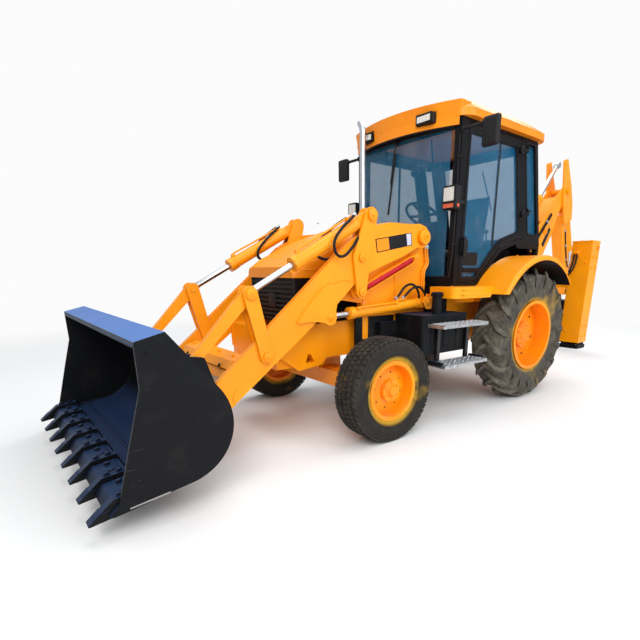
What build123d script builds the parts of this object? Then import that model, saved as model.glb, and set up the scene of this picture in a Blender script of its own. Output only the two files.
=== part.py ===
from build123d import *
import math
import os
from collections import namedtuple

os.makedirs("parts", exist_ok=True)

# A backhoe loader. All sizes are in millimetres.
# Stations (x) are measured forward from the rear axle, y is to the left, heights (z) from the ground.
# origin_back moves the finished parts so that the frame's origin lies under the machine's middle.
origin_back = 245

# ---- overall sizes
wheel_base = 2170
bucket_width = 2320
rear_width = 2300
cab_half_width = 720

# ---- wheels: radius, width, seat radius of the bead, y of the middle
front_tyre_radius = 440
front_tyre_width = 270
front_seat_radius = 232
front_wheel_y = 930
rear_tyre_radius = 715
rear_tyre_width = 430
rear_seat_radius = 356
rear_wheel_y = 850
kingpin_y = 745
kingpin_radius = 28
front_spindle_radius = 34
rear_hub_radius = 62
flange_height = 22

# ---- clearances
pin_gap = 0.3
side_gap = 2
layer_gap = 5
seat_gap = 0.3
slide_gap = 0.8

# ---- chassis
rail_outer = 430
rail_wall = 28
tower_outer = 492
axle_rear_reach = 1150
nose_front = 2890

# ---- bonnet and exhaust stack
bonnet_half = 385
bonnet_sheet = 20
bonnet_round = 75
bonnet_edge = 1335
stack_x = 1300
stack_y = -390
stack_radius = 34

# ---- loader linkage, side view (station, height)
arm_pivot = (1400, 1690)
level_rear_pin = (1460, 1515)
lift_rear_pin = (1310, 1105)
lift_front_pin = (2480, 1030)
arm_tie = (2583, 1137)
lift_pocket = 108
rear_lever_pin = (2150, 1496)
rear_lever_low = (2150, 1220)
rear_lever_top = (2045, 1830)
front_lever_pin = (3076, 770)
front_lever_top = (3175, 1233)
bucket_pin = (3500, 430)
bucket_link_pin = (3628, 782)
arm_middle_y = 560
arm_thickness = 50
lever_plate = 20
link_eye_half = 9
link_pin_radius = 24
gland_length = 45
gland_wall = 6
bore_floor = 8

# base and end pins, tube and rod radii, barrel length, rod length inside it at rest,
# base eye radius, half width and pin, flat neck, rod eye radius and half width, flat tongue
Ram = namedtuple("Ram", "base end tube rod length inside eye half pin neck rod_eye rod_half tongue")
tilt_ram = Ram(rear_lever_top, front_lever_top, 52, 25, 850, 468, 46, 23, 30, 160, 36, link_eye_half, 64)
lift_ram = Ram(lift_rear_pin, lift_front_pin, 46, 25, 955, 800, 46, 23, 26, 100, 44, 23, 40)

# ---- loader bucket, side view
bucket_shell = 14
bucket_side = 16
bucket_corner_radius = 335
bucket_lip = (4320, 147)
bucket_rear_corner = (3343, 297)
bucket_top_rear = (3940, 1085)
bucket_top_front = (4097, 1045)
tooth_count = 8
tooth_width = 64
tooth_reach = 110

# ---- cab
floor_top = 1200
sill_height = 1270
roof_rail = 2700
roof_top = 2885
glass_thickness = 8
door_thickness = 45
a_post_low = 1085
a_post_top = 1050
cab_rear_top = -190
cab_rear_low = -450
windscreen_bow = 90
screen_half = 655
visor_side = 1110
visor_bow = 140
visor_half = 700
visor_height = 115
visor_skirt = 70
visor_sheet = 22
roof_edge = 62
roof_lean = 56
lamp_drop = 30
lamp_base = roof_rail - lamp_drop
work_lamp_y = 400
head_lamp_y = 700
lamp_back = 1185
wheel_house = 765

# ---- rear frame and backhoe, side view
frame_front = -870
frame_depth = 200
casing_width = 235
casing_top = 1730
casing_low = 560
foot_low = 485
foot_height = 45
leg_wall = 14
lashing_hole = (-1020, 1660)
lashing_radius = 22
backhoe_y = -430
swing_station = -1360
boom_foot = (-1580, 780)
boom_tip = (-2930, 2640)
dipper_top = (-2800, 3020)
dipper_end = (-3480, 1080)
boom_ram_base = (-1545, 1330)
boom_plate_y = 125
boom_plate = 22
dipper_half = 90


# ---------------------------------------------------------------- helpers
def box(x0, x1, y0, y1, z0, z1):
    return Pos((x0 + x1) / 2, (y0 + y1) / 2, (z0 + z1) / 2) * Box(x1 - x0, y1 - y0, z1 - z0)


def cut_out(sketch, y0, y1):
    return extrude(Plane.XZ.offset(-y1) * sketch, amount=y1 - y0)


def outline(points, radius=0):
    sketch = make_face(Polyline(*points, close=True))
    if radius:
        sketch = fillet(sketch.vertices(), radius)
    return sketch


def plate(points, y0, y1, radius=0):
    return cut_out(outline(points, radius), y0, y1)


def disc(centre, radius, y0, y1):
    return cut_out(Pos(*centre) * Circle(radius), y0, y1)


def bar_face(start, end, start_radius, end_radius):
    """A tapered bar with round ends, as a flat face."""
    dx = end[0] - start[0]
    dz = end[1] - start[1]
    length = math.hypot(dx, dz)
    turn = math.atan2(dz, dx)
    lean = math.acos((start_radius - end_radius) / length)
    corners = []
    for (px, pz), radius, side in (
        (start, start_radius, 1), (end, end_radius, 1), (end, end_radius, -1), (start, start_radius, -1),
    ):
        angle = turn + side * lean
        corners.append((px + radius * math.cos(angle), pz + radius * math.sin(angle)))
    flat = make_face(Polyline(*corners, close=True))
    return flat + Pos(*start) * Circle(start_radius) + Pos(*end) * Circle(end_radius)


def bar(start, end, start_radius, end_radius, y0, y1):
    return cut_out(bar_face(start, end, start_radius, end_radius), y0, y1)


def rod(start, end, radius):
    run = Vector(*end) - Vector(*start)
    return extrude(Plane(origin=start, z_dir=run) * Circle(radius), amount=run.length)


def along(start, end, distance, offset=0):
    """A point at a distance from start towards end, moved to the left of that line by offset."""
    length = math.dist(start, end)
    ux = (end[0] - start[0]) / length
    uz = (end[1] - start[1]) / length
    return (start[0] + ux * distance - uz * offset, start[1] + uz * distance + ux * offset)


def both(shape):
    return [shape, mirror(shape, about=Plane.XZ)]


def save(name, *shapes):
    solids = []
    for shape in shapes:
        for piece in shape if isinstance(shape, list) else [shape]:
            solids.extend(piece.solids())
    export_step(Compound(solids).moved(Location((-origin_back, 0, 0))), f"parts/{name}.step")


# ---------------------------------------------------------------- wheels
def tyre(radius, width, seat, middle_y, station, axle_height):
    half = width / 2
    crown = radius
    shoulder = radius * 0.955
    wall = radius * 0.80
    lip = seat + flange_height
    profile = make_face(
        Polyline((seat, -half * 0.78), (lip, -half * 0.78), (wall, -half), (shoulder, -half * 0.93))
        + ThreePointArc((shoulder, -half * 0.93), (crown, 0), (shoulder, half * 0.93))
        + Polyline((shoulder, half * 0.93), (wall, half), (lip, half * 0.78), (seat, half * 0.78))
        + Line((seat, half * 0.78), (seat, -half * 0.78))
    )
    ring = revolve(profile, Axis.Y)
    return Pos(station, middle_y, axle_height) * ring


def rim(seat, width, bore, disc_offset, middle_y, station, axle_height, side):
    """A dished steel rim: barrel with flanges, a disc set off the middle and a hub boss."""
    half = width / 2 * 0.78
    wall = 12
    flange = seat + flange_height
    barrel = make_face(Polyline(
        (seat - wall, -half - 8), (flange, -half - 8), (flange, -half), (seat, -half),
        (seat, half), (flange, half), (flange, half + 8), (seat - wall, half + 8), close=True,
    ))
    face = side * disc_offset
    dish = make_face(Polyline(
        (bore, face - 9), (seat * 0.45, face - 9), (seat - wall, face - side * 30 - 9),
        (seat - wall, face - side * 30 + 9), (seat * 0.45, face + 9), (bore, face + 9), close=True,
    ))
    hub = make_face(Polyline(
        (bore, face - 45), (seat * 0.40, face - 45), (seat * 0.40, face + 45), (bore, face + 45), close=True,
    ))
    ring = revolve(barrel, Axis.Y) + revolve(dish, Axis.Y) + revolve(hub, Axis.Y)
    return Pos(station, middle_y, axle_height) * ring


def wheels():
    for name, side in (("left", 1), ("right", -1)):
        save(f"front_tyre_{name}", tyre(front_tyre_radius, front_tyre_width, front_seat_radius,
                                        side * front_wheel_y, wheel_base, front_tyre_radius))
        save(f"front_rim_{name}", rim(front_seat_radius, front_tyre_width, front_spindle_radius + pin_gap, 40,
                                      side * front_wheel_y, wheel_base, front_tyre_radius, side))
        save(f"rear_tyre_{name}", tyre(rear_tyre_radius, rear_tyre_width, rear_seat_radius,
                                       side * rear_wheel_y, 0, rear_tyre_radius))
        save(f"rear_rim_{name}", rim(rear_seat_radius, rear_tyre_width, rear_hub_radius + pin_gap, 20,
                                     side * rear_wheel_y, 0, rear_tyre_radius, side))


# ---------------------------------------------------------------- axles and knuckles
beam_low = 375
beam_high = 500
fork_plate = 26
knuckle_half = 52


def front_axle():
    beam = box(wheel_base - 95, wheel_base + 95, -560, 560, beam_low - 10, beam_high + 10)
    beam = beam + box(wheel_base - 60, wheel_base + 60, -kingpin_y - 45, kingpin_y + 45,
                      beam_high + side_gap, beam_high + fork_plate)
    beam = beam + box(wheel_base - 60, wheel_base + 60, -kingpin_y - 45, kingpin_y + 45,
                      beam_low - fork_plate, beam_low - side_gap)
    beam = beam + box(wheel_base - 60, wheel_base + 60, -640, 640,
                      beam_low - fork_plate, beam_high + fork_plate)
    beam = beam + box(wheel_base - 130, wheel_base + 130, -150, 150, beam_high, 665 - seat_gap)
    for side in (1, -1):
        beam = beam + Pos(wheel_base, side * kingpin_y, (beam_low + beam_high) / 2) * Cylinder(
            kingpin_radius, beam_high - beam_low + 2 * fork_plate)
    return beam


def rear_axle():
    housing = rod((0, -600, rear_tyre_radius), (0, 600, rear_tyre_radius), 105)
    housing = housing + Pos(0, 0, rear_tyre_radius) * Sphere(215)
    for side in (1, -1):
        housing = housing + rod((0, side * 590, rear_tyre_radius), (0, side * 640, rear_tyre_radius), 175)
        housing = housing + rod((0, side * 600, rear_tyre_radius), (0, side * 930, rear_tyre_radius),
                                rear_hub_radius)
        housing = housing + box(-90, 90, side * 415 - 60, side * 415 + 60, rear_tyre_radius, 830)
    return housing


def knuckle(side):
    y = side * kingpin_y
    middle = (beam_low + beam_high) / 2
    body = Pos(wheel_base, y, middle) * Cylinder(knuckle_half, beam_high - beam_low - 2 * side_gap)
    body = body + box(wheel_base - 40, wheel_base + 40, min(y, y + side * 100), max(y, y + side * 100),
                      beam_low + side_gap, beam_high - side_gap)
    body = body + rod((wheel_base, y, front_tyre_radius), (wheel_base, y + side * 262, front_tyre_radius),
                      front_spindle_radius)
    body = body + box(wheel_base - 230, wheel_base, y - 22, y + 22, 415, 450)
    return body - Pos(wheel_base, y, middle) * Cylinder(kingpin_radius + pin_gap, 400)


# ---------------------------------------------------------------- chassis
def chassis():
    rail = plate([(-axle_rear_reach + 280, 830), (-axle_rear_reach + 280, 1060), (900, 1060), (1250, 1000),
                  (2480, 960), (nose_front, 930), (nose_front, 720), (2760, 630), (2690, 580), (2450, 610),
                  (2410, 665), (1990, 665), (1820, 770), (1150, 770), (900, 830)],
                 rail_outer - rail_wall, rail_outer)
    tower = plate([(1240, 770), (1240, 1640), (1310, 1770), (1480, 1770), (1560, 1600), (1740, 1500),
                   (2060, 1440), (2330, 1330), (2330, 1160), (2060, 1120), (2060, 770)],
                  rail_outer, tower_outer, 18)
    tower = tower + disc(arm_pivot, 42, tower_outer, arm_middle_y + 45)
    tower = tower + disc(arm_pivot, 70, tower_outer, arm_middle_y - arm_thickness / 2 - layer_gap)
    tower = tower + disc(arm_pivot, 62, arm_middle_y + arm_thickness / 2 + layer_gap + 5, arm_middle_y + 58)
    tower = tower + disc(lift_rear_pin, 26, tower_outer, arm_middle_y + 55)
    lug_x, lug_z = lift_rear_pin
    lug = plate([(1240, lug_z - 65), (1240, lug_z + 75), (lug_x + 20, lug_z + 75), (lug_x + 75, lug_z),
                 (lug_x + 20, lug_z - 65)], arm_middle_y + 36, arm_middle_y + 56, 12)
    tower = tower + lug + box(1240, 1256, rail_outer, arm_middle_y + 56, lug_z - 65, lug_z + 75)
    frame = rail + mirror(rail, about=Plane.XZ) + tower + mirror(tower, about=Plane.XZ)
    inner = rail_outer - rail_wall
    for x0, x1, z0, z1 in ((nose_front - 130, nose_front - 10, 720, 930), (2230, 2410, 665, 760),
                           (1930, 2110, 665, 760), (-870, -830, 830, 1060)):
        frame = frame + box(x0, x1, -inner, inner, z0, z1)
    frame = frame + box(2450, nose_front, -inner, inner, 610, 720)
    frame = frame - plate([(2530, 640), (2625, 640), (2600, 712), (2572, 712)], -2000, 2000, 6)
    for x in (-350, 700):
        for y in (-rail_outer + rail_wall / 2, rail_outer - rail_wall / 2):
            frame = frame + box(x, x + 100, y - rail_wall / 2, y + rail_wall / 2,
                                1050, floor_top - 40 - seat_gap)
    return frame


def engine():
    block = box(1480, 2330, -270, 270, 790, 1340)
    block = block + box(250, 1480, -210, 210, 640, 1010)
    for x in (1600, 2150):
        block = block + box(x, x + 90, -(rail_outer - rail_wall), rail_outer - rail_wall, 830, 900)
    return block


def grille():
    top = bonnet_edge - seat_gap
    shell = plate([(2330, 960), (2640, 960), (2665, top), (2330, top)], -375, 375)
    hollow = box(2330, 2610, -345, 345, 960, 1290)
    return shell - hollow


def rounded_top(points, half, radius):
    """A side view as wide as twice half, its two upper edges rounded."""
    shape = plate(points, -half, half)
    edges = [edge for edge in shape.edges() if abs(edge.center().Y) > half - 1 and edge.center().Z > 1420
             and points[0][0] + 5 < edge.center().X]
    return fillet(edges, radius)


def bonnet():
    shell = rounded_top([(1235, 1400), (1235, 1835), (1560, 1830), (1900, 1765), (2250, 1650), (2600, 1490),
                         (2700, 1420), (2690, bonnet_edge), (2200, bonnet_edge), (2000, 1400)],
                        bonnet_half, bonnet_round)
    t = bonnet_sheet
    hollow = rounded_top([(1235 - t, 1300), (1235 - t, 1835 - t), (1558, 1830 - t), (1895, 1765 - t),
                          (2242, 1650 - t), (2588, 1490 - t), (2668, 1420 - t), (2660, 1300)],
                         bonnet_half - t, bonnet_round - t)
    notch = box(1235 - t, stack_x + 80, stack_y - 80, stack_y + 45, 1200, 1900)
    return shell - hollow - notch


# ---------------------------------------------------------------- loader
arm_in = arm_middle_y - arm_thickness / 2
arm_out = arm_middle_y + arm_thickness / 2
lever_in = arm_in - layer_gap - lever_plate
lever_out = arm_out + layer_gap + lever_plate


def straddle(face):
    """Two plates, one on each side of the arm."""
    return cut_out(face, lever_in, lever_in + lever_plate) + cut_out(face, lever_out - lever_plate, lever_out)


def loader_arms():
    profile = outline([(1330, 1600), (1320, 1775), (1440, 1805), (2000, 1740), (2230, 1640), (3060, 955),
                       (3470, 625), (3570, 470), (3540, 370), (3440, 370), (3330, 460), (2600, 1000),
                       (2560, 1010), (2440, 1090), (2230, 1270), (2090, 1360), (1880, 1440), (1640, 1520),
                       (1460, 1600)])
    profile = fillet(profile.vertices().sort_by(Axis.X)[:3], 60)
    arm = cut_out(profile, arm_in, arm_out)
    ear = outline([(2405, 1290), (2480, 1292), (2565, 1248), (2655, 1165), (2735, 1083), (2800, 998),
                   (2690, 1004), (2600, 1000), (2535, 985), (2500, 965), (2460, 965), (2430, 985),
                   (2418, 1030), (2425, 1080), (2400, 1180)])
    arm = arm + cut_out(ear, arm_out + side_gap, arm_out + side_gap + lever_plate)
    arm = arm + cut_out(ear, arm_in - side_gap - lever_plate, arm_in - side_gap)
    arm = arm + disc(arm_tie, 35, arm_in - side_gap - lever_plate, arm_out + side_gap + lever_plate)
    arm = arm - disc(lift_front_pin, lift_pocket, arm_in - side_gap, arm_out + side_gap)
    arm = arm - disc(arm_pivot, 42 + pin_gap, 0, 900)
    arm = arm + disc(rear_lever_pin, 30, lever_in - 8, lever_out + 8)
    arm = arm + disc(front_lever_pin, 28, lever_in - 8, lever_out + 8)
    arm = arm - disc(bucket_pin, 28 + pin_gap, 0, 900)
    beam = plate([(3119, 642), (3298, 513), (3377, 623), (3292, 727), (3198, 752)], -arm_in, arm_in)
    beam = beam - plate([(3155, 655), (3290, 558), (3340, 622), (3275, 700), (3215, 718)],
                        -arm_in + 40, arm_in - 40)
    lever_way = plate([(3100, 672), (3400, 650), (3400, 800), (3100, 800)], lever_in - 8, arm_in)
    beam = beam - lever_way - mirror(lever_way, about=Plane.XZ)
    return arm + mirror(arm, about=Plane.XZ) + beam


def rear_levers():
    face = bar_face(rear_lever_top, rear_lever_pin, 62, 88) + bar_face(rear_lever_pin, rear_lever_low, 88, 52)
    lever = straddle(face) - disc(rear_lever_pin, 30 + pin_gap, 0, 900)
    lever = lever + disc(rear_lever_top, 30, lever_in, lever_out + 12)
    return lever + disc(rear_lever_low, 26, lever_in, lever_out + 8)


def front_levers():
    face = bar_face(front_lever_top, front_lever_pin, 55, 50)
    lever = straddle(face) - disc(front_lever_pin, 42 + pin_gap, 0, 900)
    return lever - disc(front_lever_top, link_pin_radius + pin_gap, 0, 900)


def link_pins():
    """Stub pins in the front levers, one on each side of the tilt rod's eye."""
    inner = disc(front_lever_top, link_pin_radius, lever_in - 8, arm_middle_y - link_eye_half - side_gap)
    outer = disc(front_lever_top, link_pin_radius, arm_middle_y + link_eye_half + side_gap, lever_out + 4)
    return inner + outer + disc(front_lever_top, 44, lever_out + side_gap, lever_out + 14)


def lever_pins():
    """Sleeves that carry the front levers on the arm's pin."""
    sleeve = disc(front_lever_pin, 42, arm_out + side_gap, lever_out + 4)
    sleeve = sleeve + disc(front_lever_pin, 42, lever_in - 4, arm_in - side_gap)
    return sleeve - disc(front_lever_pin, 28 + pin_gap, 0, 900)


def tipping_links():
    link = bar(front_lever_top, bucket_link_pin, 46, 30, arm_in + side_gap, arm_out - side_gap)
    slot_end = along(front_lever_top, bucket_link_pin, 70)
    slot_start = along(front_lever_top, bucket_link_pin, -60)
    fork = bar(slot_start, slot_end, 56, 56.1, arm_middle_y - link_eye_half - side_gap,
               arm_middle_y + link_eye_half + side_gap)
    return link - fork - disc(front_lever_top, link_pin_radius + pin_gap, 0, 900)


def bucket_pins():
    shaft = disc(bucket_pin, 28, lever_in - 12, lever_out + 12)
    return shaft


def levelling_links():
    link = bar(level_rear_pin, rear_lever_low, 34, 31, arm_in + side_gap, arm_out - side_gap)
    link = link - disc(rear_lever_low, 26 + pin_gap, 0, 900)
    link = link + disc(level_rear_pin, 30, tower_outer + side_gap, arm_in + side_gap)
    start = along(level_rear_pin, rear_lever_low, 60)
    stop = along(level_rear_pin, rear_lever_low, 690)
    link = link - bar(start, stop, 24, 24, arm_middle_y - 10, arm_out)
    return link


def safety_strut():
    start = along(level_rear_pin, rear_lever_low, 75)
    stop = along(level_rear_pin, rear_lever_low, 655)
    y = arm_middle_y + 12
    return rod((start[0], y, start[1]), (stop[0], y, stop[1]), 22)


def line_rod(start, end, near, far, radius, y):
    """A round bar on the side-view line from start to end, between two distances along it."""
    first = along(start, end, near)
    last = along(start, end, far)
    return rod((first[0], y, first[1]), (last[0], y, last[1]), radius)


def ram_barrel(ram, y):
    """A ram's barrel: base eye, flat neck, tube and gland, bored for its rod."""
    neck_end = along(ram.base, ram.end, ram.neck + 20)
    shape = bar(ram.base, neck_end, ram.eye, ram.eye - 4, y - ram.half, y + ram.half)
    shape = shape + line_rod(ram.base, ram.end, ram.neck, ram.length, ram.tube, y)
    gland_start = ram.length - gland_length
    shape = shape + line_rod(ram.base, ram.end, gland_start, ram.length, ram.tube + gland_wall, y)
    shape = shape - line_rod(ram.base, ram.end, ram.neck + bore_floor, ram.length + 10, ram.rod + pin_gap, y)
    return shape - disc(ram.base, ram.pin + pin_gap, y - 300, y + 300)


def ram_rod(ram, y):
    """A ram's rod, from inside its barrel to a flat tongue and a solid eye, which has no pin."""
    reach = math.dist(ram.base, ram.end)
    shape = line_rod(ram.base, ram.end, ram.length - ram.inside, reach - ram.tongue, ram.rod, y)
    tongue_end = along(ram.end, ram.base, ram.tongue + 10)
    tongue_radius = min(ram.rod, ram.rod_eye - 2)
    return shape + bar(ram.end, tongue_end, ram.rod_eye, tongue_radius, y - ram.rod_half, y + ram.rod_half)


def loader_bucket():
    half = bucket_width / 2
    front = [bucket_top_front, (4101, 800), (4175, 561), (4282, 202), bucket_lip]
    shape = outline([bucket_rear_corner, bucket_top_rear] + front)
    corner = shape.vertices().sort_by(Axis.X)[0]
    shape = fillet(corner, bucket_corner_radius)
    corner_angle = math.radians(61.6) / 2
    inset = bucket_shell / math.sin(corner_angle)
    inner_corner = (bucket_rear_corner[0] + 0.927 * inset, bucket_rear_corner[1] + 0.375 * inset)
    inner = outline([inner_corner, (bucket_top_rear[0] + 8, bucket_top_rear[1] - bucket_shell - 6),
                     (bucket_top_front[0] + 700, bucket_top_front[1] - 200),
                     (inner_corner[0] + 1300 * 0.988, inner_corner[1] - 1300 * 0.152)])
    inner = fillet(inner.vertices().sort_by(Axis.X)[0], bucket_corner_radius - bucket_shell)
    body = cut_out(shape, -half, half) - cut_out(inner, -half + bucket_side, half - bucket_side)
    edge = plate([(4130, 196), (4150, 216), (4290, 194), (4335, 150), (4320, 140), (4120, 172)], -half, half)
    body = body + edge
    for index in range(tooth_count):
        y = -half + 60 + index * (bucket_width - 120) / (tooth_count - 1)
        tooth = plate([(4430, 112), (4436, 122), (4300, 232), (4150, 250), (4150, 200), (4300, 150),
                       (4250, 140)], y - tooth_width / 2, y + tooth_width / 2)
        body = body + tooth
    for side in (1, -1):
        for y0, y1 in ((lever_in - 2 - 30, lever_in - 2), (lever_out + 2, lever_out + 32)):
            lug = plate([(3460, 380), (3460, 490), (3560, 830), (3680, 850), (3760, 800), (3640, 600),
                         (3700, 330), (3600, 350)], y0, y1, 20)
            lug = lug - cut_out(inner, 0, 2000)
            if side < 0:
                lug = mirror(lug, about=Plane.XZ)
            body = body + lug
    for side in (1, -1):
        body = body - disc(bucket_pin, 28 + pin_gap, side * 560 - 100, side * 560 + 100)
    return body


def loader():
    save("loader_arms", loader_arms())
    save("rear_levers", both(rear_levers()))
    save("front_levers", both(front_levers()))
    save("lever_pins", both(lever_pins()))
    save("link_pins", both(link_pins()))
    save("tipping_links", both(tipping_links()))
    save("bucket_pins", both(bucket_pins()))
    save("levelling_links", both(levelling_links()))
    save("safety_strut", safety_strut())
    for name, ram in (("tilt", tilt_ram), ("lift", lift_ram)):
        save(f"{name}_barrels", both(ram_barrel(ram, arm_middle_y)))
        save(f"{name}_rods", both(ram_rod(ram, arm_middle_y)))
    save("loader_bucket", loader_bucket())


# ---------------------------------------------------------------- cab
cab_in = cab_half_width - 60
post = 55
door_front = [(a_post_low - post - 12, sill_height + 12), (a_post_top - post - 12, roof_rail - 22)]
door_rear_top = (110, roof_rail - 22)
door_rear_low = (-95, 1730)
arch_front = (760, sill_height + 12)
arch_crown = (330, 1640)
door_bosses = ((150, 2570), (14, 1985))
hinge_stand = 42
hinge_setback = 22
hinge_pin_radius = 9


def side_opening(gap):
    """The door opening's outline, or the door's own when the gap is drawn in."""
    return outline([
        (door_front[0][0] - gap, door_front[0][1] + gap), (door_front[1][0] - gap, door_front[1][1] - gap),
        (door_rear_top[0] + gap, door_rear_top[1] - gap), (door_rear_low[0] + gap, door_rear_low[1] + gap),
        (60 + gap, 1720 + gap), (arch_crown[0] + gap, arch_crown[1] + gap),
        (arch_front[0] + gap, arch_front[1] + gap),
    ], 30)


def hinge_x(z):
    """Station of the door's hinge line, which runs just behind the door's rear edge."""
    (low_x, low_z), (top_x, top_z) = door_rear_low, door_rear_top
    return low_x + (z - low_z) * (top_x - low_x) / (top_z - low_z) - hinge_setback


def hinge_pin(z, radius):
    """A round bar on the door's hinge line, upwards from one of its hinges."""
    y = cab_half_width + hinge_stand
    return rod((hinge_x(z), y, z), (hinge_x(z + 60), y, z + 60), radius)


def quarter_opening():
    return outline([(45, roof_rail - 40), (-150, roof_rail - 40), (-385, 1790), (-165, 1790)], 25)


def bowed_face(x_back, depth, bow, half):
    """A plan view with a straight back and a bowed front."""
    x_front = x_back + depth
    front = ThreePointArc((x_front, -half), (x_front + bow, 0), (x_front, half))
    return make_face(front + Polyline((x_front, half), (x_back, half), (x_back, -half), (x_front, -half)))


def bowed_panel(z0, z1, x_side, bow, thickness, half):
    panel = bowed_face(x_side - 200, 200 + thickness, bow, half)
    panel = panel - bowed_face(x_side - 300, 300, bow, half + 50)
    return extrude(Pos(0, 0, z0) * panel, amount=z1 - z0)


def cab_frame():
    side = outline([(a_post_low, sill_height), (a_post_top, roof_rail), (cab_rear_top, roof_rail),
                    (cab_rear_low, 1690), (40, 1680), (310, 1600), (715, sill_height)])
    wall = cut_out(side, cab_in, cab_half_width)
    wall = wall - cut_out(side_opening(0), cab_in - 5, cab_half_width + 5)
    wall = wall - cut_out(quarter_opening(), cab_in - 5, cab_half_width + 5)
    shell = wall + mirror(wall, about=Plane.XZ)
    inner = cab_in
    shell = shell + box(cab_rear_top, a_post_top, -inner, inner, roof_rail - 55, roof_rail)
    shell = shell - box(cab_rear_top + 60, a_post_top - 60, -inner + 40, inner - 40,
                        roof_rail - 60, roof_rail + 5)
    shell = shell + box(cab_rear_low + 40, a_post_low, -inner, inner, floor_top - 40, floor_top)
    shell = shell + box(570, a_post_low, -inner, inner, floor_top, floor_top + 30)
    for side_sign in (1, -1):
        y0 = side_sign * inner
        y1 = side_sign * cab_half_width
        shell = shell + box(560, a_post_low, min(y0, y1), max(y0, y1), floor_top - 40, sill_height)
    house = Pos(0, rear_tyre_radius) * (Circle(wheel_house + 30) - Circle(wheel_house))
    house = house & outline([(cab_rear_low + 50, 1200), (cab_rear_low + 50, 1700), (700, 1700), (700, 1160),
                             (200, 1160)])
    house = cut_out(house, cab_in - 80, cab_half_width)
    inner_wall = cut_out(outline([(cab_rear_low + 50, floor_top - 40), (cab_rear_low + 50, 1420),
                                  (-250, 1480), (0, 1508), (250, 1470), (500, 1340), (660, floor_top - 40)]),
                         cab_in - 80, cab_in - 50)
    shell = shell - box(cab_rear_low, 660, cab_in - 50, 900, 1000, 1260)
    shell = shell - box(cab_rear_low, 660, -900, -cab_in + 50, 1000, 1260)
    shell = shell + house + mirror(house, about=Plane.XZ) + inner_wall + mirror(inner_wall, about=Plane.XZ)
    for side_sign in (1, -1):
        y0 = side_sign * (cab_in + 2)
        shell = shell + box(cab_rear_low, cab_rear_low + 50, min(y0, side_sign * cab_half_width),
                            max(y0, side_sign * cab_half_width), 1440, 1690)
        y0, y1 = sorted((side_sign * 500, side_sign * cab_half_width))
        shell = shell + plate([(cab_rear_low + 50, 1640), (cab_rear_low + 50, 1690), (40, 1680),
                               (0, 1640)], y0, y1)
    for _, z in door_bosses:
        x = hinge_x(z)
        y = cab_half_width + hinge_stand
        arm = box(x - 40, x + 14, y - 14, y + 14, z + 22, z + 42)
        arm = arm + box(x - 40, x - 22, cab_half_width, y, z + 22, z + 42)
        arm = arm - hinge_pin(z, hinge_pin_radius + pin_gap)
        shell = shell + arm + mirror(arm, about=Plane.XZ)
    front = bowed_panel(floor_top - 40, roof_rail, a_post_low - 55, windscreen_bow, 50, cab_half_width)
    hole = box(900, 1400, -screen_half, screen_half, 1330, roof_rail - 70)
    shell = shell + (front - hole)
    rear = plate([(cab_rear_low, 1650), (cab_rear_low + 50, 1650), (cab_rear_top + 50, roof_rail),
                  (cab_rear_top, roof_rail)], -inner, inner)
    rear = rear - box(-700, 100, -570, 570, 1760, roof_rail - 70)
    shell = shell + rear + box(cab_rear_low, cab_rear_low + 50, -inner + 50, inner - 50, floor_top - 40, 1650)
    return shell


def cab_glass():
    screen = bowed_panel(1330, roof_rail - 70, a_post_low - 34, windscreen_bow, glass_thickness,
                         cab_half_width)
    screen = screen & box(900, 1400, -screen_half, screen_half, 1330, roof_rail - 70)
    low = cab_rear_low + 21
    high = cab_rear_top + 21
    rear = plate([(low, 1650), (low + glass_thickness, 1650), (high + glass_thickness, roof_rail),
                  (high, roof_rail)], -570, 570)
    rear = rear & box(-700, 100, -570, 570, 1760, roof_rail - 70)
    middle = cab_half_width - 30
    quarter = cut_out(quarter_opening(), middle - glass_thickness / 2, middle + glass_thickness / 2)
    return [screen, rear] + both(quarter)


def roof():
    back = cab_rear_top - 110
    plan = Pos((back + 1130) / 2, 0) * RectangleRounded(1130 - back, 1580, 160)
    edge = extrude(Pos(0, 0, roof_rail) * plan, amount=roof_edge)
    dome = extrude(Pos(0, 0, roof_rail + roof_edge) * plan, amount=roof_top - roof_rail - roof_edge,
                   taper=roof_lean)
    top = edge + dome
    plan = bowed_face(1000, visor_side - 1000, visor_bow, visor_half)
    visor = extrude(Pos(0, 0, roof_rail + 5) * plan, amount=visor_height, taper=-10)
    skirt = bowed_panel(roof_rail - visor_skirt, roof_rail + 10, visor_side - visor_sheet, visor_bow,
                        visor_sheet, visor_half)
    top = top + visor + skirt
    top = top - box(cab_rear_top - 50, 1010, -690, 690, roof_rail + 20, roof_rail + roof_edge)
    for y in (-work_lamp_y, work_lamp_y):
        top = top - box(lamp_back, 1400, y - 105, y + 105, lamp_base - 4, lamp_base + 94)
    return top


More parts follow.
